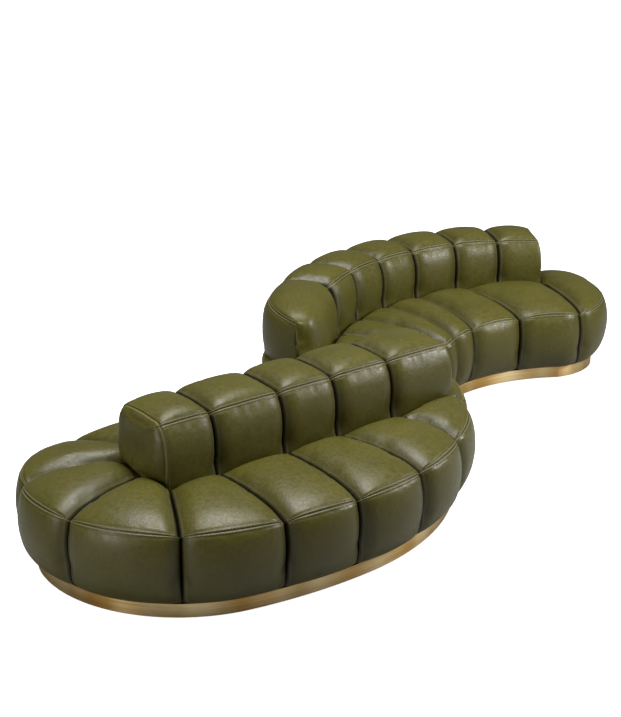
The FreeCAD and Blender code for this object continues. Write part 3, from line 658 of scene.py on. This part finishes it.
def upholstered(name, node, station, view, counts, sides=("groove", "groove"), sag=None,
                end=(0.0, 0.0, 0.0), columns=36):
    """A closed padded piece over one frame node, swept across its width from groove to groove.

    station gives, for a share of the width, the plan places of the heel and the edge. sag gives how far
    the top has come down there. end says how far the block's free end leans out below its top corner,
    how far it is moved along, and how far its end panel swells.
    """
    sizes = bpy.context.scene.sofa_sizes
    share = 0.5 - 0.5 * np.cos(np.linspace(0, math.pi, columns + 1))
    share = 0.7 * share + 0.3 * np.linspace(0, 1, columns + 1)
    grid, outs, seams, spare, heel_side, behind = swept(station, view, counts, sag, share)
    height = grid[..., 2]
    width = np.linalg.norm(grid[-1] - grid[0], axis=1)[None, :]
    gaps = (share[:, None] * width, (1 - share)[:, None] * width)
    sink, groove = np.zeros(seams.shape), np.zeros(seams.shape)
    # Painted highlight on the seams' sewn strips.
    shine = seam_shine(seams)
    pull = 0.6 * np.exp(-np.abs(seams) / FOLD_REACH)
    for kind, gap in zip(sides, gaps):
        if kind == "groove":
            radius = np.minimum(sizes.groove_roll, ROLL_SHARE * width)
            sink = np.maximum(sink, sizes.groove_depth * roll(gap, radius))
            # Painted shade beside the groove, and a painted highlight on the strip next to it.
            groove = np.maximum(groove, groove_shade(gap))
            shine = np.maximum(shine, 0.4 * ridge(gap - STRIP_STEP, STRIP_WIDTH))
            pull = pull + 0.8 * np.exp(-gap / FOLD_REACH)
        else:
            drop, reach = CORNERS[kind]
            on_top = ramp(-seams, 0, NOSE_RUN) * np.clip(outs[..., 2], 0, 1) if kind == "nose" else 1.0
            sink = np.maximum(sink, on_top * drop * roll(gap, reach))
    if view is joint_view:
        sink = np.maximum(sink, sizes.groove_depth * roll(spare, sizes.groove_roll))
        # Painted shade along the groove against the other section.
        groove = np.maximum(groove, ridge(spare, JOINT_LINE))
    if view in SEAT_VIEWS:
        # The heel is stuffed tight against the backrest, so its grooves close there.
        sink = sink * np.clip(1 - 1.5 * heel_side, 0, 1)
    # Towards the plinth the grooves run out, because the leather is pulled flat under the edge.
    sink = sink * ramp(height, FOOT_START, FOOT_DEEPEN, FOOT_SHARE)
    arch = sizes.arch * ((2 * share[:, None] - 1) ** 2 - ARCH_LEVEL)
    sink = sink + arch * ramp(height, ARCH_START, ARCH_RISE) * np.clip(1 - heel_side, 0, 1)
    if view not in SEAT_VIEWS:
        # The blocks swell most towards the sitter, and their grooves grow shallow behind.
        sink = sink * (1 - BEHIND_LOSS * behind)
        # In front they close again below the crown of the seat, where the heels are stuffed against them.
        sink = np.where(behind > 0, sink, sink * ramp(height, HEEL_START, HEEL_RISE, HEEL_SHARE))
    lift = seam_shape(seams, sizes.seam_pinch) + sizes.wrinkle * wrinkles(grid, pull)
    pads = grid + outs * (lift - sink)[..., None]
    for kind, i, gap in zip(sides, (0, -1), gaps):
        if kind == "cap":
            outward = (grid[i] - grid[i - 1 if i else 1]).mean(axis=0)
            rise = ramp(height, LEAN_START, LEAN_RISE)
            lean = (end[0] * np.sqrt(1 - rise ** 2) + end[1]) * np.clip(1 - gap / LEAN_REACH, 0, 1) ** 1.5
            pads = pads + outward / np.linalg.norm(outward) * lean[..., None]
    # Painted shade in the seams too.
    groove = np.maximum(groove, seam_shade(seams))
    return close_piece(name, node, pads, groove, shine, seams, sides, end[2])


def sewn_from(side, seams):
    """First row that is sewn at a side: on a nose the one below its seam, else all round."""
    return int(np.argmin(np.abs(seams))) + 1 if side == "nose" else 0


def end_panel(skin, pads, seams, i, side, swell):
    """Closes the free end at column i with rings, from its rim to an upright line in its middle."""
    rows = pads.shape[1]
    rim = list(range(i * rows, (i + 1) * rows))
    inner = i - 2 if i else 2
    away = (pads[i] - pads[inner]).mean(axis=0)
    away[2] = 0.0
    away /= np.linalg.norm(away)
    first = sewn_from(side, seams[i])
    sewn = (np.arange(rows) >= first).astype(float)
    hearts = np.repeat(pads[i].mean(axis=0)[None, :], rows, axis=0)
    hearts[:, 2] = np.clip(pads[i, :, 2], PANEL_HEART[0], PANEL_HEART[1])
    for k, (size, share) in enumerate(PANEL_RINGS):
        ring = []
        sewn_ring = k < len(RIM_SHADES)
        for j in range(rows):
            spot = hearts[j] + (pads[i, j] - hearts[j]) * size
            foot = ramp(spot[2], PANEL_FOOT, FOOT_RISE)
            puff = swell * share * (foot ** 2 * (3 - 2 * foot) if share > 0 else sewn[j])
            ring.append(len(skin["verts"]))
            skin["verts"].append(tuple(spot + away * puff))
            # Painted shade on the sewn rings, and a painted highlight on the ring of the sewn strip.
            skin["groove"].append(RIM_SHADES[k] * sewn[j] if sewn_ring else 0.0)
            skin["painted_highlight"].append(sewn[j] if k == 1 else 0.0)
            skin["held"].append(sewn[j] if sewn_ring else 0.0)
        skin["faces"] += [(rim[j], rim[j + 1], ring[j + 1], ring[j]) for j in range(rows - 1)]
        skin["faces"].append((rim[0], ring[0], ring[-1], rim[-1]))
        if k == 1:
            STITCHES.append(np.array([skin["verts"][v] for v in ring[first + 4:-2]]))
        rim = ring
    STITCHES.append(pads[inner, first + 4:-2])
    skin["faces"].append(tuple(rim))


def close_piece(name, node, pads, groove, shine, seams, sides, swell):
    """Faces over the swept rows, under them and at both sides, with end panels where they show."""
    columns, rows = pads.shape[:2]
    tight = (groove > HELD_SHADE) | (np.abs(seams) < HELD_STRIP) | (pads[..., 2] < HELD_FOOT)
    tight[:, [0, 1, 2, -1]] = True
    for side, ends in zip(sides, ((0, 1), (-1, -2))):
        for i in ends:
            tight[i, sewn_from(side, seams[i]):] = True
    skin = {"verts": [tuple(p) for p in pads.reshape(-1, 3)], "faces": [],
            "groove": list(groove.reshape(-1)), "painted_highlight": list(shine.reshape(-1)),
            "held": list(tight.reshape(-1).astype(float))}
    for i in range(columns - 1):
        a, b = i * rows, (i + 1) * rows
        skin["faces"] += [(a + j, b + j, b + j + 1, a + j + 1) for j in range(rows - 1)]
        skin["faces"].append((a, a + rows - 1, b + rows - 1, b))
    for side, i in zip(sides, (0, columns - 1)):
        if side == "groove":
            skin["faces"].append(tuple(range(i * rows, (i + 1) * rows)))
        else:
            end_panel(skin, pads, seams, i, side, swell)
    piece = new_piece(name, skin["verts"], skin["faces"], "leather")
    # The painted shade and the painted highlight go on the leather as point attributes.
    for label in ("groove", "painted_highlight"):
        marks = piece.data.attributes.new(label, "FLOAT", "POINT")
        marks.data.foreach_set("value", np.array(skin[label], np.float32))
    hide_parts(node)
    PADS.append((piece, skin["held"]))
    if sides[1] == "nose":
        NOSES.append((piece, Vector(pads[-1, sewn_from("nose", seams[-1])])))
    STITCHES.extend(stitch_rows(pads, seams))
    return piece


def ease_corner(piece, spot):
    """Rounds the leather off where a nose's seam turns down its corner."""
    work = bmesh.new()
    work.from_mesh(piece.data)
    near = [v for v in work.verts if (v.co - spot).length < NOSE_REACH]
    for step in range(NOSE_PASSES):
        bmesh.ops.smooth_vert(work, verts=near, factor=0.5, use_axis_x=True, use_axis_y=True, use_axis_z=True)
    work.to_mesh(piece.data)
    work.free()


def new_piece(name, verts, faces, finish, turn_out=True):
    """A smooth piece on the fixed body, in its finish, with its faces turned outwards if asked."""
    mesh = bpy.data.meshes.new(name)
    mesh.from_pydata(verts, [], faces)
    if turn_out:
        work = bmesh.new()
        work.from_mesh(mesh)
        bmesh.ops.recalc_face_normals(work, faces=work.faces)
        work.to_mesh(mesh)
        work.free()
    mesh.polygons.foreach_set("use_smooth", [True] * len(mesh.polygons))
    mesh.materials.append(finish_of(finish))
    piece = bpy.data.objects.new(name, mesh)
    bpy.context.scene.collection.objects.link(piece)
    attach(piece, "root")
    return piece


# Padded pieces with the weights that hold them, rows of stitches, and noses with their corners.
PADS = []
STITCHES = []
NOSES = []


def stitch_rows(pads, seams):
    """Lines of points on the surface where the twin needles run, one row each side of a seam."""
    rows = []
    for j in range(pads.shape[1]):
        if abs(abs(seams[0, j]) - STITCH_STEP) < STITCH_PLAY:
            rows.append(pads[1:-1, j])
    return rows


# Bare seam at both ends of a row of stitches, and the number of sides of a thread.
STITCH_MARGIN = 0.01
THREAD_SIDES = 5


def stitched(name, rows):
    """Short rounded stitches along rows of points, as one piece."""
    sizes = bpy.context.scene.sofa_sizes
    half = sizes.thread / 2
    verts, faces = [], []
    for row in rows:
        steps = np.concatenate([[0], np.cumsum(np.linalg.norm(np.diff(row, axis=0), axis=1))])
        for k in range(int((steps[-1] - 2 * STITCH_MARGIN) / sizes.stitch_pitch)):
            at = STITCH_MARGIN + (k + 0.5) * sizes.stitch_pitch
            marks = [at + s * sizes.stitch_length / 2 for s in (-1, 1)]
            first, last = np.stack([np.interp(marks, steps, row[:, c]) for c in range(3)], axis=1)
            along = Vector(last - first).normalized()
            side = along.cross(Vector((0.3, 0.5, 0.81))).normalized()
            up = side.cross(along)
            base = len(verts)
            verts += [tuple(first), tuple(last)]
            for share in (0.25, 0.75):
                middle = Vector(first + (last - first) * share)
                for a in range(THREAD_SIDES):
                    turn = 2 * math.pi * a / THREAD_SIDES
                    verts.append(tuple(middle + (side * math.cos(turn) + up * math.sin(turn)) * half))
            near, far = base + 2, base + 2 + THREAD_SIDES
            for a in range(THREAD_SIDES):
                b = (a + 1) % THREAD_SIDES
                faces += [(base, near + b, near + a), (base + 1, far + a, far + b),
                          (near + a, near + b, far + b, far + a)]
    return new_piece(name, verts, faces, "thread", turn_out=False)


# Rows in each run of a side view, from seam to seam.
SEAT_COUNTS = (24, 26)
BLOCK_COUNTS = (16, 16, 16)
SHELL_COUNTS = (16, 16, 30)
NOSE_COUNTS = (34, 16)


def seat_channel(section, number, station, view=seat_view, **more):
    """One seat channel of a section, by its number in the frame."""
    names = ["%s_seat_%s_%s" % (section, kind, number) for kind in ("pad", "channel")]
    upholstered(*names, station, view, SEAT_COUNTS, **more)


def back_block(section, number, station, view, counts, sides, **more):
    """One backrest block of a section, by its number in the frame."""
    names = ["%s_back_%s_%d" % (section, kind, number) for kind in ("pad", "block")]
    upholstered(*names, station, view, counts, sides, **more)


def block_borders():
    """Where the blocks of the straight backrest begin and end."""
    borders = [BACK_LEFT_X]
    for width in BLOCK_WIDTHS:
        borders.append(borders[-1] + width)
    return borders


class SOFA_OT_front_seat(bpy.types.Operator):
    """Makes the seat channels round the straight backrest"""

    bl_idname = "sofa.front_seat"
    bl_label = "Front seat"

    def execute(self, context):
        borders = block_borders()
        feet = [complex(BACK_LEFT_X + LEFT_PERCH_FOOT, BACK_REAR_Y), complex(BACK_LEFT_X, BACK_REAR_Y)]
        feet += [complex(BACK_LEFT_X, END_GROOVE_Y)] + [complex(x, BACK_FRONT_Y) for x in borders]
        feet.append(complex(BACK_RIGHT_X, BACK_REAR_Y))
        marks = [CHANNEL_START]
        for width in CHANNEL_WIDTHS:
            marks.append(marks[-1] + width)
        marks.append(EDGE_LENGTH)
        for i in range(len(marks) - 1):
            def station(u, i=i):
                return between(feet[i], feet[i + 1], u), edge_point(between(marks[i], marks[i + 1], u))
            seat_channel("front", "%02d" % (i + 1), station)
        heels = [complex(BACK_RIGHT_X, BACK_REAR_Y), complex(borders[-2], BACK_REAR_Y)]

        def joint_station(u):
            radius = between(COVE_RADIUS, OUTER_RADIUS, u)
            return between(heels[0], heels[1], u), polar(COVE, radius, JOINT_ANGLE)
        seat_channel("front", "10", joint_station, joint_view)
        perch_feet = [heels[1], complex(borders[3], BACK_REAR_Y), complex(REAR_PERCH_FOOT, BACK_REAR_Y)]
        perch_feet.append(feet[0])
        start = edge_point(CHANNEL_START)
        places = [polar(COVE, OUTER_RADIUS, JOINT_ANGLE).real, VALLEY.real, REAR_PERCH_EDGE, start.real]
        for i in range(3):
            def perch(u, i=i):
                x = between(places[i], places[i + 1], u)
                edge = perch_point(x) if i < 2 else between(perch_point(places[2]), start, u)
                return between(perch_feet[i], perch_feet[i + 1], u), edge
            seat_channel("front", "%02d" % (i + 11), perch)
        return {"FINISHED"}


# How far the right end of the straight backrest leans out below its top, and stands out along.
RIGHT_END_LEAN, RIGHT_END_SHIFT = 0.022, 0.03


class SOFA_OT_front_back(bpy.types.Operator):
    """Makes the blocks of the straight backrest"""

    bl_idname = "sofa.front_back"
    bl_label = "Front backrest"

    def execute(self, context):
        borders = block_borders()
        last = len(BLOCK_WIDTHS) - 1
        puff = context.scene.sofa_sizes.end_puff
        for i in range(last + 1):
            def station(u, i=i):
                x = between(borders[i], borders[i + 1], u)
                return complex(x, BACK_FRONT_Y), complex(x, BACK_REAR_Y)
            sides = ("groove" if i else "cap", "groove" if i < last else "cap")
            end = (RIGHT_END_LEAN, RIGHT_END_SHIFT, puff) if i else (0.0, 0.0, puff)
            back_block("front", i + 1, station, block_view, BLOCK_COUNTS, sides, end=end)
        return {"FINISHED"}


def rear_edge(share):
    """A point on the edge between the oval's groove and the first one on the cove."""
    arc = COVE_RADIUS * math.radians(REAR_EDGE_ANGLES[0])
    bend = abs(end_point(END_GROOVE) - end_point(-90.0))
    run = share * (arc + bend)
    if run < bend:
        return end_point(between(END_GROOVE, -90.0, run / bend))
    return polar(COVE, COVE_RADIUS, REAR_END_ANGLE + math.degrees((run - bend) / COVE_RADIUS))


def end_pad_sag(share):
    """The oval pad comes down towards the rear, beyond the end of the backrest."""
    return 0.024 * max(0.0, 1 - share / 0.75)


class SOFA_OT_rear_seat(bpy.types.Operator):
    """Makes the seat channels of the cove and the oval pad at their end"""

    bl_idname = "sofa.rear_seat"
    bl_label = "Rear seat"

    def execute(self, context):
        heels, edges = [REAR_END_ANGLE], [REAR_END_ANGLE]
        for heel_step, edge_step in zip(REAR_HEEL_ANGLES, REAR_EDGE_ANGLES):
            heels.append(heels[-1] + heel_step)
            edges.append(edges[-1] + edge_step)
        heels.append(JOINT_ANGLE)
        edges.append(JOINT_ANGLE)
        for i in range(len(heels) - 1):
            def station(u, i=i):
                heel = polar(COVE, BACK_FOOT_RADIUS, between(heels[i], heels[i + 1], u))
                edge = polar(COVE, COVE_RADIUS, between(edges[i], edges[i + 1], u))
                return heel, edge if i else rear_edge(u)
            seat_channel("rear", "%d" % (i + 2), station)
        knee = polar(COVE, BACK_FOOT_RADIUS, REAR_END_ANGLE)

        def fan(u):
            edge = end_point(between(90.0, END_GROOVE, u))
            return knee + KNEE_GAP * (edge - knee) / abs(edge - knee), edge
        seat_channel("rear", "1", fan, sag=end_pad_sag, columns=60)
        return {"FINISHED"}


# Free ends of the curved backrest, at its right and at its nose: lean, shift along and puff of the panel.
FAR_END, NOSE_END = (0.036, -0.034, 0.014), (0.0, 0.0, 0.02)
# Shares of the nose's width from which its outer side is drawn in and its front turns, and the rest of it.
DRAW_START, DRAW_RUN, TURN_START, TURN_RUN = 0.45, 0.55, 0.66, 0.34


def shell_sag(blocks):
    """The top of the curved backrest, by blocks from its right end: it comes down there and rises later."""
    return 0.012 * max(0.0, 2 - blocks) - 0.006 * max(0.0, min(2.0, blocks - 3))


def nose_sag(share):
    """The end block comes down in a round to its free end."""
    return 0.045 * max(0.0, (share - 0.3) / 0.7) ** 2.2 - 0.012


class SOFA_OT_rear_back(bpy.types.Operator):
    """Makes the blocks of the curved backrest, down to the plinth behind"""

    bl_idname = "sofa.rear_back"
    bl_label = "Rear backrest"

    def execute(self, context):
        angles = [REAR_END_ANGLE]
        for step in REAR_BLOCK_ANGLES:
            angles.append(angles[-1] + step)
        angles.append(JOINT_ANGLE)
        last = len(angles) - 2
        # Towards the end block the grooves run askew over the tops.
        rears = [angle + skew for angle, skew in zip(angles, REAR_BLOCK_SKEWS)]
        for i in range(last):
            def station(u, i=i):
                heel = polar(COVE, BACK_FOOT_RADIUS, between(angles[i], angles[i + 1], u))
                return heel, polar(COVE, OUTER_RADIUS, between(rears[i], rears[i + 1], u))
            back_block("rear", i + 1, station, shell_view, SHELL_COUNTS, ("groove" if i else "cap", "groove"),
                       end=FAR_END, sag=lambda u, i=i: shell_sag(i + u))

        def nose(u):
            angle = between(angles[last], JOINT_ANGLE, u)
            draw = END_DRAW * max(0.0, (u - DRAW_START) / DRAW_RUN) ** 2.3
            turn = max(0.0, (u - TURN_START) / TURN_RUN)
            inset = (REAR_BACK_DEPTH - END_DRAW - NOSE_TIP) * (1 - math.sqrt(1 - turn ** 2))
            rear = between(rears[last], JOINT_ANGLE, u)
            return polar(COVE, BACK_FOOT_RADIUS + inset, angle), polar(COVE, OUTER_RADIUS - draw, rear)

        def skirt(u):
            heel = polar(COVE, BACK_FOOT_RADIUS, between(angles[last], JOINT_ANGLE, u))
            return heel, polar(COVE, OUTER_RADIUS, between(rears[last], JOINT_ANGLE, u))
        back_block("rear", last + 1, nose, nose_view, NOSE_COUNTS, ("groove", "nose"), end=NOSE_END,
                   sag=nose_sag)
        upholstered("rear_back_skirt", "rear_back_block_%d" % (last + 1), skirt, skirt_view, SEAT_COUNTS)
        return {"FINISHED"}


STUFFING_FRAMES = 16


class SOFA_OT_stuffing(bpy.types.Operator):
    """Blows the padding up under the leather, held at the grooves, the seams and the plinth"""

    bl_idname = "sofa.stuffing"
    bl_label = "Stuffing"

    def execute(self, context):
        sizes = context.scene.sofa_sizes
        for piece, held in PADS:
            group = piece.vertex_groups.new(name="held")
            group.add([i for i, h in enumerate(held) if h > 0.5], 1.0, "REPLACE")
            cloth = piece.modifiers.new("stuffing", "CLOTH")
            cloth.settings.quality = 4
            cloth.settings.mass = 0.3
            cloth.settings.tension_stiffness = 30.0
            cloth.settings.compression_stiffness = 12.0
            cloth.settings.bending_stiffness = 1.5
            cloth.settings.shrink_min = -sizes.slack
            cloth.settings.vertex_group_mass = group.name
            cloth.settings.use_pressure = True
            cloth.settings.uniform_pressure_force = 4.0
            cloth.settings.effector_weights.gravity = 0.0
            cloth.collision_settings.use_collision = False
            cloth.point_cache.frame_start = 1
            cloth.point_cache.frame_end = STUFFING_FRAMES
        for step in range(1, STUFFING_FRAMES + 1):
            context.scene.frame_set(step)
        seen = context.evaluated_depsgraph_get()
        for piece, held in PADS:
            blown = piece.evaluated_get(seen)
            count = len(piece.data.vertices)
            before, after = np.zeros(count * 3), np.zeros(count * 3)
            piece.data.vertices.foreach_get("co", before)
            if len(blown.data.vertices) != count:
                raise RuntimeError("the cloth of %s lost its points" % piece.name)
            blown.data.vertices.foreach_get("co", after)
            move = (after - before).reshape(-1, 3)
            size = np.maximum(np.linalg.norm(move, axis=1), 1e-9)
            move *= (np.minimum(size, sizes.swell) / size)[:, None]
            piece.modifiers.clear()
            piece.vertex_groups.clear()
            piece.data.vertices.foreach_set("co", (before.reshape(-1, 3) + move).reshape(-1))
            piece.data.update()
        context.scene.frame_set(1)
        return {"FINISHED"}


class SOFA_OT_stitching(bpy.types.Operator):
    """Eases the nose's corner and sews the twin-needle seams"""

    bl_idname = "sofa.stitching"
    bl_label = "Stitching"

    def execute(self, context):
        for piece, spot in NOSES:
            ease_corner(piece, spot)
        stitched("seam_stitches", STITCHES)
        return {"FINISHED"}


# Brass bands in millimetres: how far they stand in from the seats' edge, their thickness and eased edge.
PLINTH_INSET, FASCIA, FASCIA_EASE = 48.0, 2.0, 0.6


def front_run(inset):
    """A line inside the front section's edge, from the joint round the left end and back to the joint."""
    corner = polar(COVE, OUTER_RADIUS, JOINT_ANGLE)
    run = [edge_point(d) for d in np.linspace(EDGE_LENGTH, 0.0, 260)]
    run += [perch_point(x) for x in np.linspace(LEFT_END_X, corner.real, 120)[1:]]
    ahead = np.gradient(np.array(run))
    return run - 1j * ahead / np.abs(ahead) * inset


def bow(start, middle, stop):
    """Points along the arc through three places, without the first."""
    slant = (stop - start) / (middle - start)
    centre = start + (middle - start) * (slant - abs(slant) ** 2) / (2j * slant.imag)
    turn = cmath.phase((stop - centre) / (start - centre))
    return [centre + (start - centre) * cmath.exp(1j * turn * t) for t in np.linspace(0.0, 1.0, 60)[1:]]


def rear_run(inset):
    """A line inside the rear section's edge, from the joint along the cove and round the oval end."""
    run = [polar(COVE, COVE_RADIUS + inset, a) for a in np.linspace(JOINT_ANGLE, REAR_END_ANGLE, 120)]
    for degrees in (-90.0, 0.0):
        run += bow(*[end_point(degrees + step, inset) for step in (0.0, 45.0, 90.0)])
    back = np.linspace(REAR_END_ANGLE, JOINT_ANGLE, 160)[1:]
    return run + [polar(COVE, OUTER_RADIUS - inset, a) for a in back]


def plinth_band(name, node, run):
    """A brass band bent round one section's plinth, with eased edges at its top and foot."""
    low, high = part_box(node)
    foot, top = low.z * 1000, high.z * 1000
    section = ((0.0, foot + FASCIA_EASE), (0.0, top - FASCIA_EASE), (FASCIA_EASE, top), (FASCIA, top),
               (FASCIA, foot), (FASCIA_EASE, foot))
    lines = [[(placed(p), z / 1000) for p in run(PLINTH_INSET + step)] for step, z in section]
    verts = [(spot.real, spot.imag, z) for ring in zip(*lines) for spot, z in ring]
    count = len(section)
    last = len(verts) - count
    faces = [tuple(range(count)), tuple(range(last + count - 1, last - 1, -1))]
    for a in range(0, last, count):
        for j in range(count):
            k = (j + 1) % count
            faces.append((a + j, a + count + j, a + count + k, a + k))
    piece = new_piece(name, verts, faces, "brass")
    piece.data.set_sharp_from_angle(angle=math.radians(30.0))
    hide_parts(node)
    return piece


class SOFA_OT_plinth(bpy.types.Operator):
    """Bends the brass bands round the plinth"""

    bl_idname = "sofa.plinth"
    bl_label = "Plinth bands"

    def execute(self, context):
        plinth_band("front_plinth_band", "front_plinth_fascia", front_run)
        plinth_band("rear_plinth_band", "rear_plinth_fascia", rear_run)
        return {"FINISHED"}


class SOFA_OT_base(bpy.types.Operator):
    """Finishes the glides and the boards and bolts inside"""

    bl_idname = "sofa.base"
    bl_label = "Frame and glides"

    def execute(self, context):
        slots = {s["node"]: s["material_slot"] for s in frame["record"]["subparts"]}
        for name, piece in frame["nodes"].items():
            if slots[name] != "leather":
                piece.data.materials.clear()
                piece.data.materials.append(finish_of(slots[name]))
        return {"FINISHED"}


# The photograph's camera: place in the plan, height in metres, heading and pitch in degrees, lens in mm.
CAMERA_PLACE = complex(-3044.8, -4574.3)
CAMERA_HEIGHT = 2.8363
CAMERA_HEADING = 50.48
CAMERA_PITCH = 19.43
CAMERA_FOCUS = 77.95
FLOOR_REACH = 40.0
WHITE = (1.0, 1.0, 1.0, 1.0)
# Studio lamps: name, place, what they face, size and power.
LAMPS = (("overhead", (-0.5, -0.3, 5.6), (0.0, 0.2, 0.3), 3.6, 385.0),
         ("right_softbox", (3.0, -2.8, 2.3), (0.0, -0.2, 0.4), 0.9, 118.0),
         ("left_softbox", (-4.4, -0.8, 1.2), (-1.0, -0.2, 0.3), 1.2, 28.0))


class SOFA_OT_stage(bpy.types.Operator):
    """Sets up the pale floor, the studio lamps and the camera"""

    bl_idname = "sofa.stage"
    bl_label = "Stage"

    def execute(self, context):
        scene = context.scene
        self.floor(scene)
        self.lamps(scene)
        spot = placed(CAMERA_PLACE)
        camera = bpy.data.objects.new("camera", bpy.data.cameras.new("camera"))
        camera.data.lens = CAMERA_FOCUS
        camera.data.sensor_width = 36.0
        camera.data.clip_end = 100.0
        camera.location = (spot.real, spot.imag, CAMERA_HEIGHT)
        camera.rotation_euler = (math.radians(90.0 - CAMERA_PITCH), 0.0, math.radians(CAMERA_HEADING - 90.0))
        scene.collection.objects.link(camera)
        scene.camera = camera
        scene.view_settings.view_transform = "Standard"
        return {"FINISHED"}

    def floor(self, scene):
        mesh = bpy.data.meshes.new("studio_floor")
        corners = [(FLOOR_REACH * x, FLOOR_REACH * y, 0) for x, y in ((-1, -1), (1, -1), (1, 1), (-1, 1))]
        mesh.from_pydata(corners, [], [(0, 1, 2, 3)])
        floor = bpy.data.objects.new("studio_floor", mesh)
        scene.collection.objects.link(floor)
        material, tree = fresh("studio_floor")
        # To the camera the floor is as white as the backdrop and keeps the shadow. To the sofa it is grey.
        ray = add(tree, "ShaderNodeLightPath")
        white = add(tree, "ShaderNodeBsdfDiffuse", {"Color": solid(scene.sofa_colours.floor)})
        glow = add(tree, "ShaderNodeEmission", {"Color": WHITE, "Strength": 0.96})
        seen = add(tree, "ShaderNodeAddShader", {0: white.outputs[0], 1: glow.outputs[0]})
        grey = add(tree, "ShaderNodeBsdfDiffuse", {"Color": (0.2, 0.2, 0.2, 1.0)})
        pale = add(tree, "ShaderNodeBsdfDiffuse", {"Color": (0.45, 0.45, 0.45, 1.0)})
        inputs = {0: ray.outputs["Is Glossy Ray"], 1: grey.outputs[0], 2: pale.outputs[0]}
        unseen = add(tree, "ShaderNodeMixShader", inputs)
        inputs = {0: ray.outputs["Is Camera Ray"], 1: unseen.outputs[0], 2: seen.outputs[0]}
        either = add(tree, "ShaderNodeMixShader", inputs)
        add(tree, "ShaderNodeOutputMaterial", {"Surface": either.outputs[0]})
        mesh.materials.append(material)

    def lamps(self, scene):
        world = bpy.data.worlds.new("studio")
        world.use_nodes = True
        tree = world.node_tree
        tree.nodes.clear()
        ray = add(tree, "ShaderNodeLightPath")
        mirrored = spread(tree, ray.outputs["Is Glossy Ray"], target=(0.1, 0.14))
        strength = spread(tree, ray.outputs["Is Camera Ray"], target=(mirrored, 1.0))
        glow = add(tree, "ShaderNodeBackground", {"Color": WHITE, "Strength": strength})
        add(tree, "ShaderNodeOutputWorld", {"Surface": glow.outputs[0]})
        scene.world = world
        for name, place, aim, size, power in LAMPS:
            lamp = bpy.data.objects.new(name, bpy.data.lights.new(name, "AREA"))
            lamp.data.size = size
            lamp.data.energy = power
            lamp.location = place
            lamp.rotation_euler = (Vector(aim) - Vector(place)).to_track_quat("-Z", "Y").to_euler()
            scene.collection.objects.link(lamp)


OPERATORS = (SOFA_OT_front_seat, SOFA_OT_front_back, SOFA_OT_rear_seat, SOFA_OT_rear_back, SOFA_OT_stuffing,
             SOFA_OT_stitching, SOFA_OT_plinth, SOFA_OT_base, SOFA_OT_stage)


class SOFA_PT_pieces(bpy.types.Panel):
    """Lists the pieces of the sofa and what a maker would change"""

    bl_idname = "SOFA_PT_pieces"
    bl_label = "Serpentine Channel Sofa"
    bl_space_type = "VIEW_3D"
    bl_region_type = "UI"
    bl_category = "Sofa"

    def draw(self, context):
        for group in (context.scene.sofa_sizes, context.scene.sofa_colours):
            for name in group.__annotations__:
                self.layout.prop(group, name)
        for operator in OPERATORS:
            self.layout.operator(operator.bl_idname)


CLASSES = (SofaSizes, SofaColours) + OPERATORS + (SOFA_PT_pieces,)


def register():
    for cls in CLASSES:
        bpy.utils.register_class(cls)
    bpy.types.Scene.sofa_sizes = bpy.props.PointerProperty(type=SofaSizes)
    bpy.types.Scene.sofa_colours = bpy.props.PointerProperty(type=SofaColours)


def unregister():
    del bpy.types.Scene.sofa_colours
    del bpy.types.Scene.sofa_sizes
    for cls in reversed(CLASSES):
        bpy.utils.unregister_class(cls)


def main():
    register()
    bpy.ops.sofa.front_seat()
    bpy.ops.sofa.front_back()
    bpy.ops.sofa.rear_seat()
    bpy.ops.sofa.rear_back()
    bpy.ops.sofa.stuffing()
    bpy.ops.sofa.stitching()
    bpy.ops.sofa.plinth()
    bpy.ops.sofa.base()
    bpy.ops.sofa.stage()


if __name__ == "__main__":
    main()
